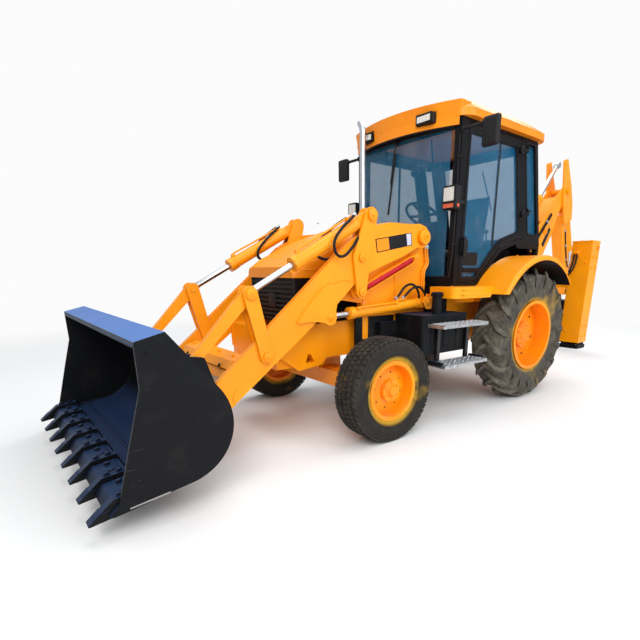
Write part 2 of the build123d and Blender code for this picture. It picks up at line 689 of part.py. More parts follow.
def door(side):
    gap = 6
    outer = cab_half_width
    inner = outer - door_thickness
    frame = cut_out(side_opening(gap), inner, outer)
    glass_hole = outline([(955, 1420), (945, 2595), (190, 2595), (10, 1800), (75, 1790), (365, 1705),
                          (500, 1580), (655, 1420)], 35)
    low_hole = outline([(950, 1345), (950, 1385), (705, 1385), (745, 1345)], 8)
    frame = frame - cut_out(glass_hole, inner - 5, outer + 5) - cut_out(low_hole, inner - 5, outer + 5)
    middle = outer - door_thickness / 2
    glass = cut_out(glass_hole, middle - glass_thickness / 2, middle + glass_thickness / 2)
    glass = [glass, cut_out(low_hole, middle - glass_thickness / 2, middle + glass_thickness / 2)]
    stand = outer + hinge_stand
    for x, z in door_bosses:
        frame = frame + rod((x, outer, z), (x, stand, z), 34) + hinge_pin(z, hinge_pin_radius)
        frame = frame + box(hinge_x(z) - 12, x, stand - 12, stand + 12, z - 16, z + 16)
    handle = box(968, 992, outer, outer + 38, 1540, 1700)
    frame = frame + handle
    if side < 0:
        return mirror(frame, about=Plane.XZ), [mirror(g, about=Plane.XZ) for g in glass]
    return frame, glass


# ---------------------------------------------------------------- body panels
def arch_face(radius_out, radius_in):
    ring = Pos(50, rear_tyre_radius) * (Circle(radius_out) - Circle(radius_in))
    keep = make_face(Polyline((-500, 1385), (-470, 1800), (700, 1800), (790, 1180), (500, 1180), (50, 1300),
                              close=True))
    return ring & keep


fender_inner_radius = 800
fender_out = 1120


def fenders_and_sills():
    band = cut_out(arch_face(fender_inner_radius + 42, fender_inner_radius),
                   cab_half_width + seat_gap, fender_out)
    crown = [e for e in band.edges().filter_by(GeomType.CIRCLE)
             if abs(e.center().Y - fender_out) < 1 and e.radius > fender_inner_radius + 20]
    band = fillet(crown, 30)
    sill = box(560, 1330, 600, 950, 1150, 1252)
    sill = fillet(sill.edges().filter_by(Axis.Z).sort_by(Axis.X)[-2:], 60)
    sill = sill - box(500, 1190, 0, cab_half_width + seat_gap, 1100, 1400)
    sill = sill - box(1190, 1400, 0, 645, 1100, 1400)
    sill = sill - cut_out(Pos(50, rear_tyre_radius) * Circle(fender_inner_radius + 42), 500, 1200)
    return both(band + sill)


def side_tanks():
    tank = box(1010, 1655, tower_outer + 8, 870, 650, 1010)
    tank = fillet(tank.edges().filter_by(Axis.X, reverse=True).filter_by(Axis.Z), 30)
    neck = rod((1400, 800, 1010), (1400, 800, 1180), 45)
    tank = tank + neck + box(1010, 1240, rail_outer, 600, 1010, 1150)
    tank = tank + box(1655, 1880, tower_outer + 8, 555, 760, 945)
    return both(tank)


def steps():
    inner = 870 + seat_gap
    upper = box(930, 1590, inner, 1060, 905, 935) - box(960, 1560, 900, 1040, 895, 923)
    lower = box(930, 1570, inner, 1080, 548, 578) - box(960, 1540, 900, 1060, 538, 566)
    brace = box(1010, 1050, inner, 900, 578, 905) + box(1440, 1480, inner, 900, 578, 905)
    return both(upper + lower + brace)


def exhaust_stack():
    x, y = stack_x, stack_y
    stack = rod((x, y, 1270), (x, y, 2740), stack_radius)
    bracket = box(x - 25, x + 25, -(rail_outer - 0.3), y, 1400, 1440)
    bend = ThreePointArc((x, y, 2740), (x, y - 12, 2800), (x, y - 45, 2850))
    tip = sweep(Plane.XY.offset(2740) * (Pos(x, y) * Circle(stack_radius)), path=bend)
    return stack + bracket + tip


def consoles():
    """Inside of the cab: seat pedestal, front column with its wheel, side and rear lever consoles."""
    group = box(60, 520, -170, 170, floor_top, 1520) + box(-150, 60, -60, 60, 1480, 1520)
    group = group + plate([(-150, 1480), (-108, 1480), (-111.5 - seat_gap, 1660), (-156.7 - seat_gap, 2100),
                           (-190, 2100)], -60, 60)
    column = plate([(760, floor_top + 30), (960, floor_top + 30), (930, 1780), (800, 1900), (740, 1860),
                    (800, 1600)], -110, 110, 15)
    dash = plate([(900, 1500), (1010, 1500), (1030, 1830), (960, 1880), (880, 1800)], -420, 420, 20)
    wheel_centre = (770, 0, 1975)
    wheel_plane = Plane(origin=wheel_centre, z_dir=(-0.55, 0, 0.84))
    wheel = wheel_plane * Torus(195, 14)
    spoke = wheel_plane * (Box(380, 30, 12) + Box(30, 380, 12) + Cylinder(45, 30))
    shaft = rod((850, 0, 1840), wheel_centre, 24)
    front = column + dash + wheel + spoke + shaft
    right = box(50, 520, -560, -330, floor_top, 1700)
    levers = []
    for x in (330, 400, 460):
        levers.append(rod((x, -440, 1690), (x + 10, -440, 1880), 9) + Pos(x + 10, -440, 1890) * Sphere(24))
    side_console = right
    for lever in levers:
        side_console = side_console + lever
    rear = box(-330, -230, -420, 420, floor_top, 1640)
    for y in (-120, 120):
        rear = rear + rod((-280, y, 1630), (-250, y, 1850), 9) + Pos(-250, y, 1860) * Sphere(26)
    return [group, front, side_console, rear]


def seat_pads():
    cushion = box(30, 530, -240, 240, 1520.3, 1640)
    cushion = fillet(cushion.edges(), 40)
    back = plate([(40, 1645), (-70, 2230), (-170, 2230), (-110, 1645)], -225, 225)
    back = fillet(back.edges(), 35)
    return [cushion, back]


def mirrors_and_lamps():
    head = box(1040, 1095, 935, 1095, 2410, 2640)
    head = fillet(head.edges(), 20)
    arm = rod((1068, 640, 2600), (1068, 985, 2600), 14)
    arm = arm - box(900, 1200, 0, cab_half_width + pin_gap, 2560, 2660)
    left = head + arm
    right = mirror(left, about=Plane.XZ)
    group = [left, right]
    for y in (-work_lamp_y, work_lamp_y):
        lamp = box(lamp_back + pin_gap, lamp_back + 60, y - 98, y + 98, lamp_base, lamp_base + 86)
        group.append(fillet(lamp.edges().filter_by(Axis.X), 14))
    for side in (1, -1):
        lamp = box(1112, 1190, side * head_lamp_y - 75, side * head_lamp_y + 75, 1935, 2135)
        lamp = fillet(lamp.edges().filter_by(Axis.X), 20)
        stalk = box(1035, 1115, min(side * 720.3, side * 760), max(side * 720.3, side * 760), 1990, 2015)
        group.append(lamp + stalk)
    return group


# ---------------------------------------------------------------- rear frame and stabilisers
rear_half = rear_width / 2
frame_rear = frame_front - frame_depth
casing_in = rear_half - casing_width


def casing_box(x_inset, z0, z1, y_inset):
    return box(frame_rear + x_inset, frame_front - x_inset, casing_in + y_inset, rear_half - y_inset, z0, z1)


def rear_frame():
    frame = box(frame_rear + 20, frame_front - 30, -casing_in, casing_in, 620, 770)
    frame = frame + box(frame_rear + 20, frame_front - 30, -casing_in, casing_in, 1210, 1360)
    for side in (1, -1):
        casing = casing_box(0, casing_low, casing_top, 0)
        casing = casing - casing_box(leg_wall, casing_low - 5, casing_top - leg_wall, leg_wall)
        collar = casing_box(-8, casing_low, casing_low + 40, 0)
        collar = collar - casing_box(leg_wall, casing_low - 5, 900, leg_wall)
        gusset = plate([(frame_rear + 60, 1360), (frame_rear + 60, 1560), (frame_front - 60, 1560),
                        (frame_front - 60, 1360)], casing_in - 14, casing_in)
        piece = casing + collar + gusset - disc(lashing_hole, lashing_radius, rear_half - 60, rear_half + 10)
        if side < 0:
            piece = mirror(piece, about=Plane.XZ)
        frame = frame + piece
        y = side * (rail_outer - 14)
        frame = frame + box(frame_front - 30, frame_front, y - 60, y + 60, 620, 1360)
    return frame


def stabiliser(side):
    inset = leg_wall + slide_gap
    leg = casing_box(inset, foot_low, casing_top - leg_wall - 60, inset)
    foot = casing_box(-6, foot_low, foot_low + foot_height, 0)
    leg = leg + fillet(foot.edges().filter_by(Axis.Z), 15)
    if side < 0:
        leg = mirror(leg, about=Plane.XZ)
    return leg


# ---------------------------------------------------------------- backhoe
carriage_rear = swing_station + 150
ear_radius = 105
ear_low = (600, 670)
ear_high = (1190, 1260)
ram_lug_half = 70


def shift_carriage():
    y0 = backhoe_y - 290
    y1 = backhoe_y + 290
    front = frame_rear + 20 - slide_gap
    body = box(carriage_rear, front, y0, y1, 590, 1390)
    for z0, z1 in (ear_low, ear_high):
        ear = box(swing_station, carriage_rear, backhoe_y - ear_radius, backhoe_y + ear_radius, z0, z1)
        body = body + ear + Pos(swing_station, backhoe_y, (z0 + z1) / 2) * Cylinder(ear_radius, z1 - z0)
    height = ear_high[1] - ear_low[0]
    return body + Pos(swing_station, backhoe_y, ear_low[0] + height / 2) * Cylinder(42, height)


def in_plane(shape):
    return Pos(0, backhoe_y, 0) * shape


def kingpost():
    """The swinging post: a barrel between the carriage's ears, with lugs for the boom and its ram."""
    z0 = ear_low[1] + side_gap
    z1 = ear_high[0] - side_gap
    body = Pos(swing_station, 0, (z0 + z1) / 2) * Cylinder(ear_radius, z1 - z0)
    inner = boom_plate_y - boom_plate - side_gap
    back = swing_station - ear_radius - layer_gap
    body = body + plate([(swing_station, z0), (swing_station, z1), (back - 40, z1), (-1560, 900),
                         (-1640, 840), (-1640, 720), (-1540, z0)], -inner, inner)
    mast = plate([(back, z1 - 120), (back, 1300), (-1500, 1380), (-1590, 1380), (-1592, 1310), (-1530, 1180),
                  (back - 90, z1 - 200)],
                 -ram_lug_half, ram_lug_half)
    slot = box(-1700, back + 10, -25, 25, z1 + 10, 1500)
    body = body + (mast - slot)
    body = body + disc(boom_foot, 40, -boom_plate_y - 8, boom_plate_y + 8)
    body = body + disc(boom_ram_base, 28, -ram_lug_half, ram_lug_half)
    body = body - Pos(swing_station, 0, (z0 + z1) / 2) * Cylinder(42 + pin_gap, 900)
    return in_plane(body)


def boom_point(distance, offset):
    return along(boom_foot, boom_tip, distance, -offset)


boom_length = math.dist(boom_foot, boom_tip)
boom_ram_end = boom_point(1500, 40)
dipper_ram_base = boom_point(900, 450)
boom_ram = Ram(boom_ram_base, boom_ram_end, 52, 28, 885, 615, 45, 23, 28, 100, 42, 23, 30)
dipper_ram = Ram(dipper_ram_base, dipper_top, 52, 28, 950, 280, 45, 40, 26, 60, 42, 40, 30)


def boom():
    side = outline([boom_point(-70, -60), boom_point(-60, 90), boom_point(560, 170), boom_point(830, 520),
                    boom_point(970, 520), boom_point(1150, 260), boom_point(1900, 190),
                    boom_point(boom_length + 60, 90), boom_point(boom_length + 80, -70),
                    boom_point(1950, -75), boom_point(1600, -160), boom_point(900, -190),
                    boom_point(300, -150)])
    outer = boom_plate_y
    cheeks = cut_out(side, -outer, -outer + boom_plate) + cut_out(side, outer - boom_plate, outer)
    web = outline([boom_point(300, -130), boom_point(900, -170), boom_point(1600, -142),
                   boom_point(1850, -85), boom_point(1850, -65), boom_point(1600, -122),
                   boom_point(900, -150), boom_point(300, -110)])
    cap = outline([boom_point(1560, 200), boom_point(1900, 175), boom_point(2060, 148),
                   boom_point(2060, 128), boom_point(1900, 155), boom_point(1560, 180)])
    body = cheeks + cut_out(web, -outer, outer) + cut_out(cap, -outer, outer)
    body = body - disc(boom_foot, 40 + pin_gap, -300, 300)
    hinge = disc(boom_tip, 45, -outer - 60, outer + 60)
    for centre, radius in ((boom_ram_end, 50), (dipper_ram_base, 46)):
        body = body + disc(centre, radius, outer, outer + 14) + disc(centre, radius, -outer - 14, -outer)
    body = body + disc(dipper_ram_base, 26, -outer, outer)
    return in_plane(body + hinge)


dipper_length = math.dist(boom_tip, dipper_end)


def dipper_point(distance, offset):
    return along(boom_tip, dipper_end, distance, -offset)


bucket_lever_pin = dipper_point(1400, 0)
bucket_lever_end = (-3720, 1420)
bucket_hook = (-3660, 1140)
crowd_ram_base = dipper_point(300, 240)
crowd_ram = Ram(crowd_ram_base, bucket_lever_end, 55, 30, 740, 530, 40, 33, 24, 75, 42, 40, 30)


def dipper():
    """Twin cheeks around the boom's end, then a closed box down to the bucket's pin."""
    inner = boom_plate_y + side_gap
    outer = inner + 22
    head = outline([along(boom_tip, dipper_top, 460, -60), along(boom_tip, dipper_top, 460, 60),
                    dipper_point(-40, 150), dipper_point(240, 170), dipper_point(480, 130),
                    dipper_point(480, -120), dipper_point(100, -130), dipper_point(-60, -110)], 20)
    cheeks = cut_out(head, -outer, -inner) + cut_out(head, inner, outer)
    lower = outline([dipper_point(330, -115), dipper_point(330, 130), dipper_point(1500, 75),
                     dipper_point(dipper_length + 60, 50), dipper_point(dipper_length + 60, -55),
                     dipper_point(1300, -80)])
    body = cut_out(lower, -dipper_half, dipper_half)
    bridge = outline([dipper_point(340, -110), dipper_point(340, 120), dipper_point(470, 112),
                      dipper_point(470, -105)])
    body = body + cut_out(bridge, -inner, inner) + cheeks
    for y0, y1 in ((-58, -36), (36, 58)):
        body = body + cut_out(outline([dipper_point(200, 105), dipper_point(255, 285), dipper_point(335, 290),
                                       dipper_point(355, 105)]), y0, y1)
    body = body + disc(crowd_ram_base, 24, -58, 58)
    body = body - disc(boom_tip, 45 + pin_gap, -400, 400)
    body = body + disc(bucket_lever_pin, 26, -dipper_half - 40, dipper_half + 40)
    return in_plane(body - disc(dipper_end, 28 + pin_gap, -400, 400))


def bucket_lever():
    outer = dipper_half + side_gap + 18
    lever = cut_out(bar_face(bucket_lever_pin, bucket_lever_end, 46, 42), dipper_half + side_gap, outer)
    lever = lever + mirror(lever, about=Plane.XZ)
    for side in (1, -1):
        lever = lever + disc(bucket_lever_end, 26, min(side * (outer - 18), side * (outer + 30)),
                             max(side * (outer - 18), side * (outer + 30)))
    return in_plane(lever - disc(bucket_lever_pin, 26 + pin_gap, -400, 400))


def bucket_link():
    inner = dipper_half + side_gap + 18 + side_gap
    link = cut_out(bar_face(bucket_lever_end, bucket_hook, 42, 42), inner, inner + 18)
    link = link + mirror(link, about=Plane.XZ)
    return in_plane(link - disc(bucket_lever_end, 26 + pin_gap, -400, 400))


digger_half = 300
digger_teeth = 5


def backhoe_bucket():
    """Shell open to the front, two ears that carry its pin and its link, and five teeth."""
    x, z = dipper_end
    outer_face = outline([(x - 330, z - 170), (x - 470, z - 500), (x - 400, z - 790), (x - 235, z - 900),
                          (x - 60, z - 500), (x + 50, z - 170)])
    inner_face = outline([(x - 305, z - 190), (x - 448, z - 500), (x - 384, z - 772), (x - 235, z - 872),
                          (x + 300, z - 872), (x + 300, z - 190)])
    body = cut_out(outer_face, -digger_half, digger_half)
    body = body - cut_out(inner_face, -digger_half + 16, digger_half - 16)
    inner = dipper_half + side_gap + 40
    ear = outline([(x - 235, z + 90), (x - 150, z + 100), (x + 20, z + 50), (x + 55, z - 30),
                   (x + 50, z - 172), (x - 331, z - 172)])
    for y0, y1 in ((inner, inner + 22), (-inner - 22, -inner)):
        body = body + cut_out(ear, y0, y1)
    body = body + disc(dipper_end, 28, -inner - 40, inner + 40)
    for side in (1, -1):
        body = body + disc(bucket_hook, 44, min(side * (inner + 22), side * (inner + 36)),
                           max(side * (inner + 22), side * (inner + 36)))
    for index in range(digger_teeth):
        y = -digger_half + 35 + index * (2 * digger_half - 70) / (digger_teeth - 1)
        tooth = outline([(x - 250, z - 880), (x - 225, z - 960), (x - 205, z - 955), (x - 200, z - 850)])
        body = body + cut_out(tooth, y - 28, y + 28)
    return in_plane(body)


def backhoe():
    save("shift_carriage", shift_carriage())
    save("kingpost", kingpost())
    save("boom", boom())
    save("dipper", dipper())
    for name, ram in (("boom", boom_ram), ("dipper", dipper_ram), ("crowd", crowd_ram)):
        save(f"{name}_barrel", ram_barrel(ram, backhoe_y))
        save(f"{name}_rod", ram_rod(ram, backhoe_y))
    save("bucket_lever", bucket_lever())
    save("bucket_link", bucket_link())
    save("backhoe_bucket", backhoe_bucket())


# ---------------------------------------------------------------- run
wheels()
save("axles", front_axle(), rear_axle())
save("knuckle_left", knuckle(1))
save("knuckle_right", knuckle(-1))
save("chassis", chassis())
save("engine", engine())
save("grille", grille())
save("bonnet", bonnet())
loader()
save("cab_frame", cab_frame())
save("cab_glass", cab_glass())
save("cab_roof", roof())
for door_name, door_side in (("left", 1), ("right", -1)):
    door_frame, door_panes = door(door_side)
    save(f"door_{door_name}", door_frame)
    save(f"door_glass_{door_name}", door_panes)
save("fenders_and_sills", fenders_and_sills())
save("side_tanks", side_tanks())
save("steps", steps())
save("exhaust_stack", exhaust_stack())
save("consoles", consoles())
save("seat_pads", seat_pads())
save("mirrors_and_lamps", mirrors_and_lamps())
save("rear_frame", rear_frame())
save("stabiliser_left", stabiliser(1))
save("stabiliser_right", stabiliser(-1))
backhoe()
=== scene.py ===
import math

import bmesh
import bpy
from mathutils import Matrix, Vector


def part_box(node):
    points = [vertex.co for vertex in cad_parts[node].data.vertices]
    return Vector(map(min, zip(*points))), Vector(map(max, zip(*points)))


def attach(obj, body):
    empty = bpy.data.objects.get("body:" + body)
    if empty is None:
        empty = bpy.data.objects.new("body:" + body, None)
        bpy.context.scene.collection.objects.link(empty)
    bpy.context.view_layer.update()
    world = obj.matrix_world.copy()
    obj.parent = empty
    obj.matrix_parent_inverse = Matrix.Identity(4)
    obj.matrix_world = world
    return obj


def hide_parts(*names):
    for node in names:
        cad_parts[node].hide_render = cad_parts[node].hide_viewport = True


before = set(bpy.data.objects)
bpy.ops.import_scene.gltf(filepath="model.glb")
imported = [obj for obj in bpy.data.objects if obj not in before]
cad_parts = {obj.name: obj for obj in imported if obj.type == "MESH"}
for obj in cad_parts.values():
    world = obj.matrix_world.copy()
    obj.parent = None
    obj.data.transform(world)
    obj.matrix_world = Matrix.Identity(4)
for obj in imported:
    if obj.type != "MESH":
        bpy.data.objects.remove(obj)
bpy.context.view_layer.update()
print("frame loaded")


def middleOf(node):
    low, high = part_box(node)
    return (low + high) / 2


rearAxleX = middleOf("rear_rim_left").x
hands = {"left": 1, "right": -1}


def at(x, y, z):
    # x is a station, measured forward from the rear axle as on a drawing of the machine
    return Vector((rearAxleX + x, y, z))


def turnAbout(angle, axis, centre):
    return Matrix.Translation(centre) @ Matrix.Rotation(angle, 4, axis) @ Matrix.Translation(-centre)


# shader maths
class Wire:
    # one socket of a material, so that sums with it read as Python
    def __init__(self, look, socket):
        self.look = look
        self.socket = socket

    def maths(self, operation, *values):
        return self.look.add("ShaderNodeMath", {"operation": operation}, list(values))

    def __add__(self, other):
        return self.maths("ADD", self, other)

    def __radd__(self, other):
        return self.maths("ADD", other, self)

    def __sub__(self, other):
        return self.maths("SUBTRACT", self, other)

    def __rsub__(self, other):
        return self.maths("SUBTRACT", other, self)

    def __mul__(self, other):
        return self.maths("MULTIPLY", self, other)

    def __rmul__(self, other):
        return self.maths("MULTIPLY", other, self)

    def sine(self):
        return self.maths("SINE", self)

    def step(self, low, high):
        # 0 below low, 1 above high, smooth between
        settings = {"interpolation_type": "SMOOTHSTEP"}
        sockets = {"Value": self, "From Min": low, "From Max": high}
        return self.look.add("ShaderNodeMapRange", settings, sockets)


class Graph:
    # a node tree with one method that adds its nodes
    def __init__(self, tree):
        self.tree = tree
        tree.nodes.clear()

    def feed(self, socket, value):
        if isinstance(value, Wire):
            self.tree.links.new(value.socket, socket)
        elif isinstance(value, tuple) and len(value) == 3 and socket.type == "RGBA":
            socket.default_value = (*value, 1)
        else:
            socket.default_value = value

    def add(self, kind, settings=None, values=None, output=0):
        node = self.tree.nodes.new(kind)
        for key, value in (settings or {}).items():
            setattr(node, key, value)
        pairs = values.items() if isinstance(values, dict) else enumerate(values or [])
        for key, value in pairs:
            self.feed(node.inputs[key], value)
        return Wire(self, node.outputs[output]) if node.outputs else None


class Look(Graph):
    # a material with one Principled shader and a few shorthands for its nodes
    def __init__(self, name, **fixed):
        self.material = bpy.data.materials.new(name)
        self.material.use_nodes = True
        super().__init__(self.material.node_tree)
        self.shader = self.tree.nodes.new("ShaderNodeBsdfPrincipled")
        self.output = self.tree.nodes.new("ShaderNodeOutputMaterial")
        self.tree.links.new(self.shader.outputs[0], self.output.inputs[0])
        self.place = self.add("ShaderNodeTexCoord", output="Object")
        self.set(**fixed)

    def noise(self, scale, detail=3, rough=0.55, stretch=None):
        where = self.place
        if stretch:
            where = self.add("ShaderNodeMapping", None, {"Vector": where, "Scale": stretch})
        return self.add("ShaderNodeTexNoise", None,
                        {"Vector": where, "Scale": scale, "Detail": detail, "Roughness": rough})

    def cells(self, scale, output=0):
        sockets = {"Vector": self.place, "Scale": scale}
        return self.add("ShaderNodeTexVoronoi", {"feature": "F1"}, sockets, output)

    def mix(self, factor, first, second):
        return self.add("ShaderNodeMix", {"data_type": "RGBA"}, {0: factor, 6: first, 7: second}, 2)

    def axis(self, index):
        return self.add("ShaderNodeSeparateXYZ", None, [self.place], index)

    def facing(self, index):
        normal = self.add("ShaderNodeTexCoord", output="Normal")
        return self.add("ShaderNodeSeparateXYZ", None, [normal], index)

    def own(self, name):
        # what the piece's own points say of themselves
        return self.add("ShaderNodeAttribute", {"attribute_name": name}, output="Fac")

    def bump(self, height, strength, distance):
        sockets = {"Strength": strength, "Distance": distance, "Height": height}
        self.set(Normal=self.add("ShaderNodeBump", None, sockets))

    def set(self, **values):
        for socket, value in values.items():
            self.feed(self.shader.inputs[socket.replace("_", " ")], value)


# mesh helpers
def edgesOf(verts):
    # each edge once, always in the same order
    return list(dict.fromkeys(edge for vert in verts for edge in vert.link_edges))


def roundEdges(bm, edges, size, segments=2):
    bmesh.ops.bevel(bm, geom=edges, offset=size, offset_type="OFFSET", segments=segments, profile=0.5,
                    affect="EDGES", material=-1)


def boxIn(bm, low, high, bevel=0.0, segments=2, turn=None):
    made = bmesh.ops.create_cube(bm, size=1)["verts"]
    low, high = Vector(low), Vector(high)
    bmesh.ops.scale(bm, vec=high - low, verts=made)
    bmesh.ops.translate(bm, vec=(low + high) / 2, verts=made)
    if turn:
        bmesh.ops.transform(bm, matrix=turn, verts=made)
    if bevel:
        roundEdges(bm, edgesOf(made), bevel, segments)


def boxAt(bm, x0, x1, y0, y1, z0, z1, bevel=0.0, segments=2, turn=None):
    # the same, from stations; y0 and y1 come in either order
    y0, y1 = sorted((y0, y1))
    boxIn(bm, at(x0, y0, z0), at(x1, y1, z1), bevel, segments, turn)


def blockIn(bm, centre, half, bevel=0.0, segments=2, turn=None):
    # the same, around its centre
    boxIn(bm, centre - Vector(half), centre + Vector(half), bevel, segments, turn)


def barIn(bm, start, end, radius, endRadius=None, sides=24, bevel=0.0):
    run = end - start
    place = Matrix.Translation((start + end) / 2) @ run.to_track_quat("Z", "Y").to_matrix().to_4x4()
    made = bmesh.ops.create_cone(bm, cap_ends=True, segments=sides, radius1=radius,
                                 radius2=radius if endRadius is None else endRadius,
                                 depth=run.length, matrix=place)["verts"]
    if bevel:
        rims = [edge for edge in edgesOf(made) if any(len(face.verts) > 4 for face in edge.link_faces)]
        roundEdges(bm, rims, bevel)


def barsAlong(bm, points, radius, sides):
    # one short bar for each stretch of a run
    for start, end in zip(points, points[1:]):
        barIn(bm, start, end, radius, sides=sides)


def boltIn(bm, seat, direction, size=0.012, washer=True):
    # a hexagon head on its washer, standing on a face; all its measures are shares of the head's
    out = Vector(direction).normalized()
    if washer:
        barIn(bm, seat - out * 0.001, seat + out * size * 0.25, size * 1.35, sides=20)
    barIn(bm, seat + out * size * 0.2, seat + out * size * 1.05, size, sides=6, bevel=size * 0.12)


def bossIn(bm, centre, side, radius, height):
    # a pin's end seen from outside: turned flange, raised ring and the bolt that keeps it
    out = Vector((0, side * height, 0))
    barIn(bm, centre - Vector((0, side * 0.002, 0)), centre + out, radius, sides=40, bevel=height * 0.3)
    barIn(bm, centre + out * 0.9, centre + out * 1.5, radius * 0.62, sides=32, bevel=0.003)
    barIn(bm, centre + out * 1.4, centre + out * 2.3, radius * 0.3, sides=6, bevel=0.0015)


def latheIn(bm, profile, centre, steps=64, axis=(0, 1, 0)):
    # profile is pairs of (distance along the axis, radius); the shape is closed where its radius is 0
    along = Vector(axis)
    outward = Vector((0, 0, 1)) if abs(along.z) < 0.9 else Vector((1, 0, 0))
    verts = [bm.verts.new(centre + along * shift + outward * radius) for shift, radius in profile]
    edges = [bm.edges.new(pair) for pair in zip(verts, verts[1:])]
    bmesh.ops.spin(bm, geom=verts + edges, cent=centre, axis=along, angle=2 * math.pi, steps=steps,
                   use_merge=True)


def ringSpots(centre, radius, count, start=0.0, flat=False):
    # points around a circle in the side view, or around an upright when flat
    spots = []
    for n in range(count):
        angle = 2 * math.pi * n / count + start
        a, b = math.cos(angle) * radius, math.sin(angle) * radius
        spots.append(centre + Vector((a, b, 0) if flat else (a, 0, b)))
    return spots


def pushFace(bm, corners, shift):
    # a flat face through the corners, pushed sideways into a plate
    face = bm.faces.new([bm.verts.new(corner) for corner in corners])
    pushed = bmesh.ops.extrude_face_region(bm, geom=[face])["geom"]
    moved = [item for item in pushed if isinstance(item, bmesh.types.BMVert)]
    bmesh.ops.translate(bm, vec=(0, shift, 0), verts=moved)
    return moved


def plateIn(bm, outline, y0, y1, bevel=0.0):
    # a flat plate from its side view, in stations and heights
    moved = pushFace(bm, [at(x, y0, z) for x, z in outline], y1 - y0)
    if bevel:
        roundEdges(bm, [edge for edge in edgesOf(moved) if edge.calc_length() > 4 * bevel], bevel)


def put(name, data):
    thing = bpy.data.objects.new(name, data)
    bpy.context.scene.collection.objects.link(thing)
    return thing


def dress(name, data, body, finish):
    piece = put(name, data)
    data.materials.append(looks[finish].material)
    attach(piece, body)
    return piece


def finishPiece(bm, name, body, finish, sharp=35):
    bmesh.ops.remove_doubles(bm, verts=bm.verts, dist=0.00002)
    bmesh.ops.recalc_face_normals(bm, faces=bm.faces)
    mesh = bpy.data.meshes.new(name)
    bm.to_mesh(mesh)
    bm.free()
    mesh.polygons.foreach_set("use_smooth", [True] * len(mesh.polygons))
    mesh.set_sharp_from_angle(angle=math.radians(sharp))
    return dress(name, mesh, body, finish)


def finishBoth(bm, name, body, finish):
    # a piece that is the same on the machine's other side
    mirrored(bm)
    return finishPiece(bm, name, body, finish)


def mirrored(bm):
    # the same again on the machine's other side
    bmesh.ops.mirror(bm, geom=bm.verts[:] + bm.edges[:] + bm.faces[:], merge_dist=-1, axis="Y")


def repeatIn(bm, pattern, places):
    # the pattern is a small bmesh; it is put in once for each place
    mesh = bpy.data.meshes.new("pattern")
    pattern.to_mesh(mesh)
    pattern.free()
    for place in places:
        copy = mesh.copy()
        copy.transform(place)
        bm.from_mesh(copy)
        bpy.data.meshes.remove(copy)
    bpy.data.meshes.remove(mesh)


def aroundAxle(centre, count, start=0.0):
    # one turn about a wheel's axle for each of so many equal steps
    return [Matrix.Translation(centre) @ Matrix.Rotation(2 * math.pi * (n + start) / count, 4, "Y")
            for n in range(count)]


def linesOf(name, body, finish, radius, runs, order=3):
    # round bars, pipes and hoses that are held at both ends, all of one thickness
    curve = bpy.data.curves.new(name, "CURVE")
    curve.dimensions = "3D"
    curve.bevel_depth = radius
    curve.bevel_resolution = 3
    curve.use_fill_caps = True
    for points in runs:
        line = curve.splines.new("NURBS")
        line.points.add(len(points) - 1)
        for spot, point in zip(line.points, points):
            spot.co = (*point, 1)
        line.use_endpoint_u = True
        line.order_u = min(order, len(points))
        line.resolution_u = 10
    dress(name, curve, body, finish)


def bothSides(runs):
    return [list(points) for points in runs] + [[Vector((p.x, -p.y, p.z)) for p in points] for points in runs]


# finishes; a tone is a linear red, green and blue
tones = {
    "orange": (0.96, 0.335, 0.002),  # the loader's yellow-orange
    "orangeDeep": (0.82, 0.215, 0.001),
    "overspray": (0.62, 0.36, 0.02),  # paint that drifted onto the tyres
    "dust": (0.42, 0.30, 0.17),
    "dullDust": (0.20, 0.18, 0.15),
    "speck": (0.10, 0.07, 0.04),
    "driedMud": (0.36, 0.33, 0.22),
    "scratch": (0.25, 0.25, 0.25),
    "black": (0.006, 0.0065, 0.008),
    "paintedSkyReflection": (0.075, 0.19, 0.52),  # painted sky reflection, mixed into black paint on faces that look up
    "zincDark": (0.34, 0.36, 0.38),
    "zincPale": (0.66, 0.69, 0.72),
    "zincWorn": (0.20, 0.19, 0.17),
    "glassFilm": (0.40, 0.46, 0.48),
}


def paintLook(name, colour, deep, rough=0.32, coat=0.10, dirt=0.12):
    # sprayed enamel: slow shade changes, a fine ripple, dust that settles on ledges
    look = Look(name, IOR=1.5, Coat_Roughness=0.12, Specular_IOR_Level=0.28)
    slow = look.noise(1.7, 2, 0.5).step(0.3, 0.75)
    patch = look.noise(6.5, 5, 0.6)
    ripple = look.noise(210, 2, 0.5)
    speck = look.cells(42).step(0.045, 0.02) * look.noise(3.1, 2).step(0.56, 0.66)
    up = look.facing(2).step(0.55, 0.98)
    dusty = (patch.step(0.48, 0.78) * dirt) * (0.35 + up)
    tone = look.mix(slow, colour, deep)
    tone = look.mix(dusty, tone, tones["dust"])
    tone = look.mix(speck * 0.5, tone, tones["speck"])
    look.set(Base_Color=tone, Roughness=rough + patch * 0.14 + dusty * 0.5, Coat_Weight=coat - dusty * 0.3)
    look.bump(ripple * 0.5 + look.noise(28, 2) * 0.5, 0.10, 0.0012)
    return look


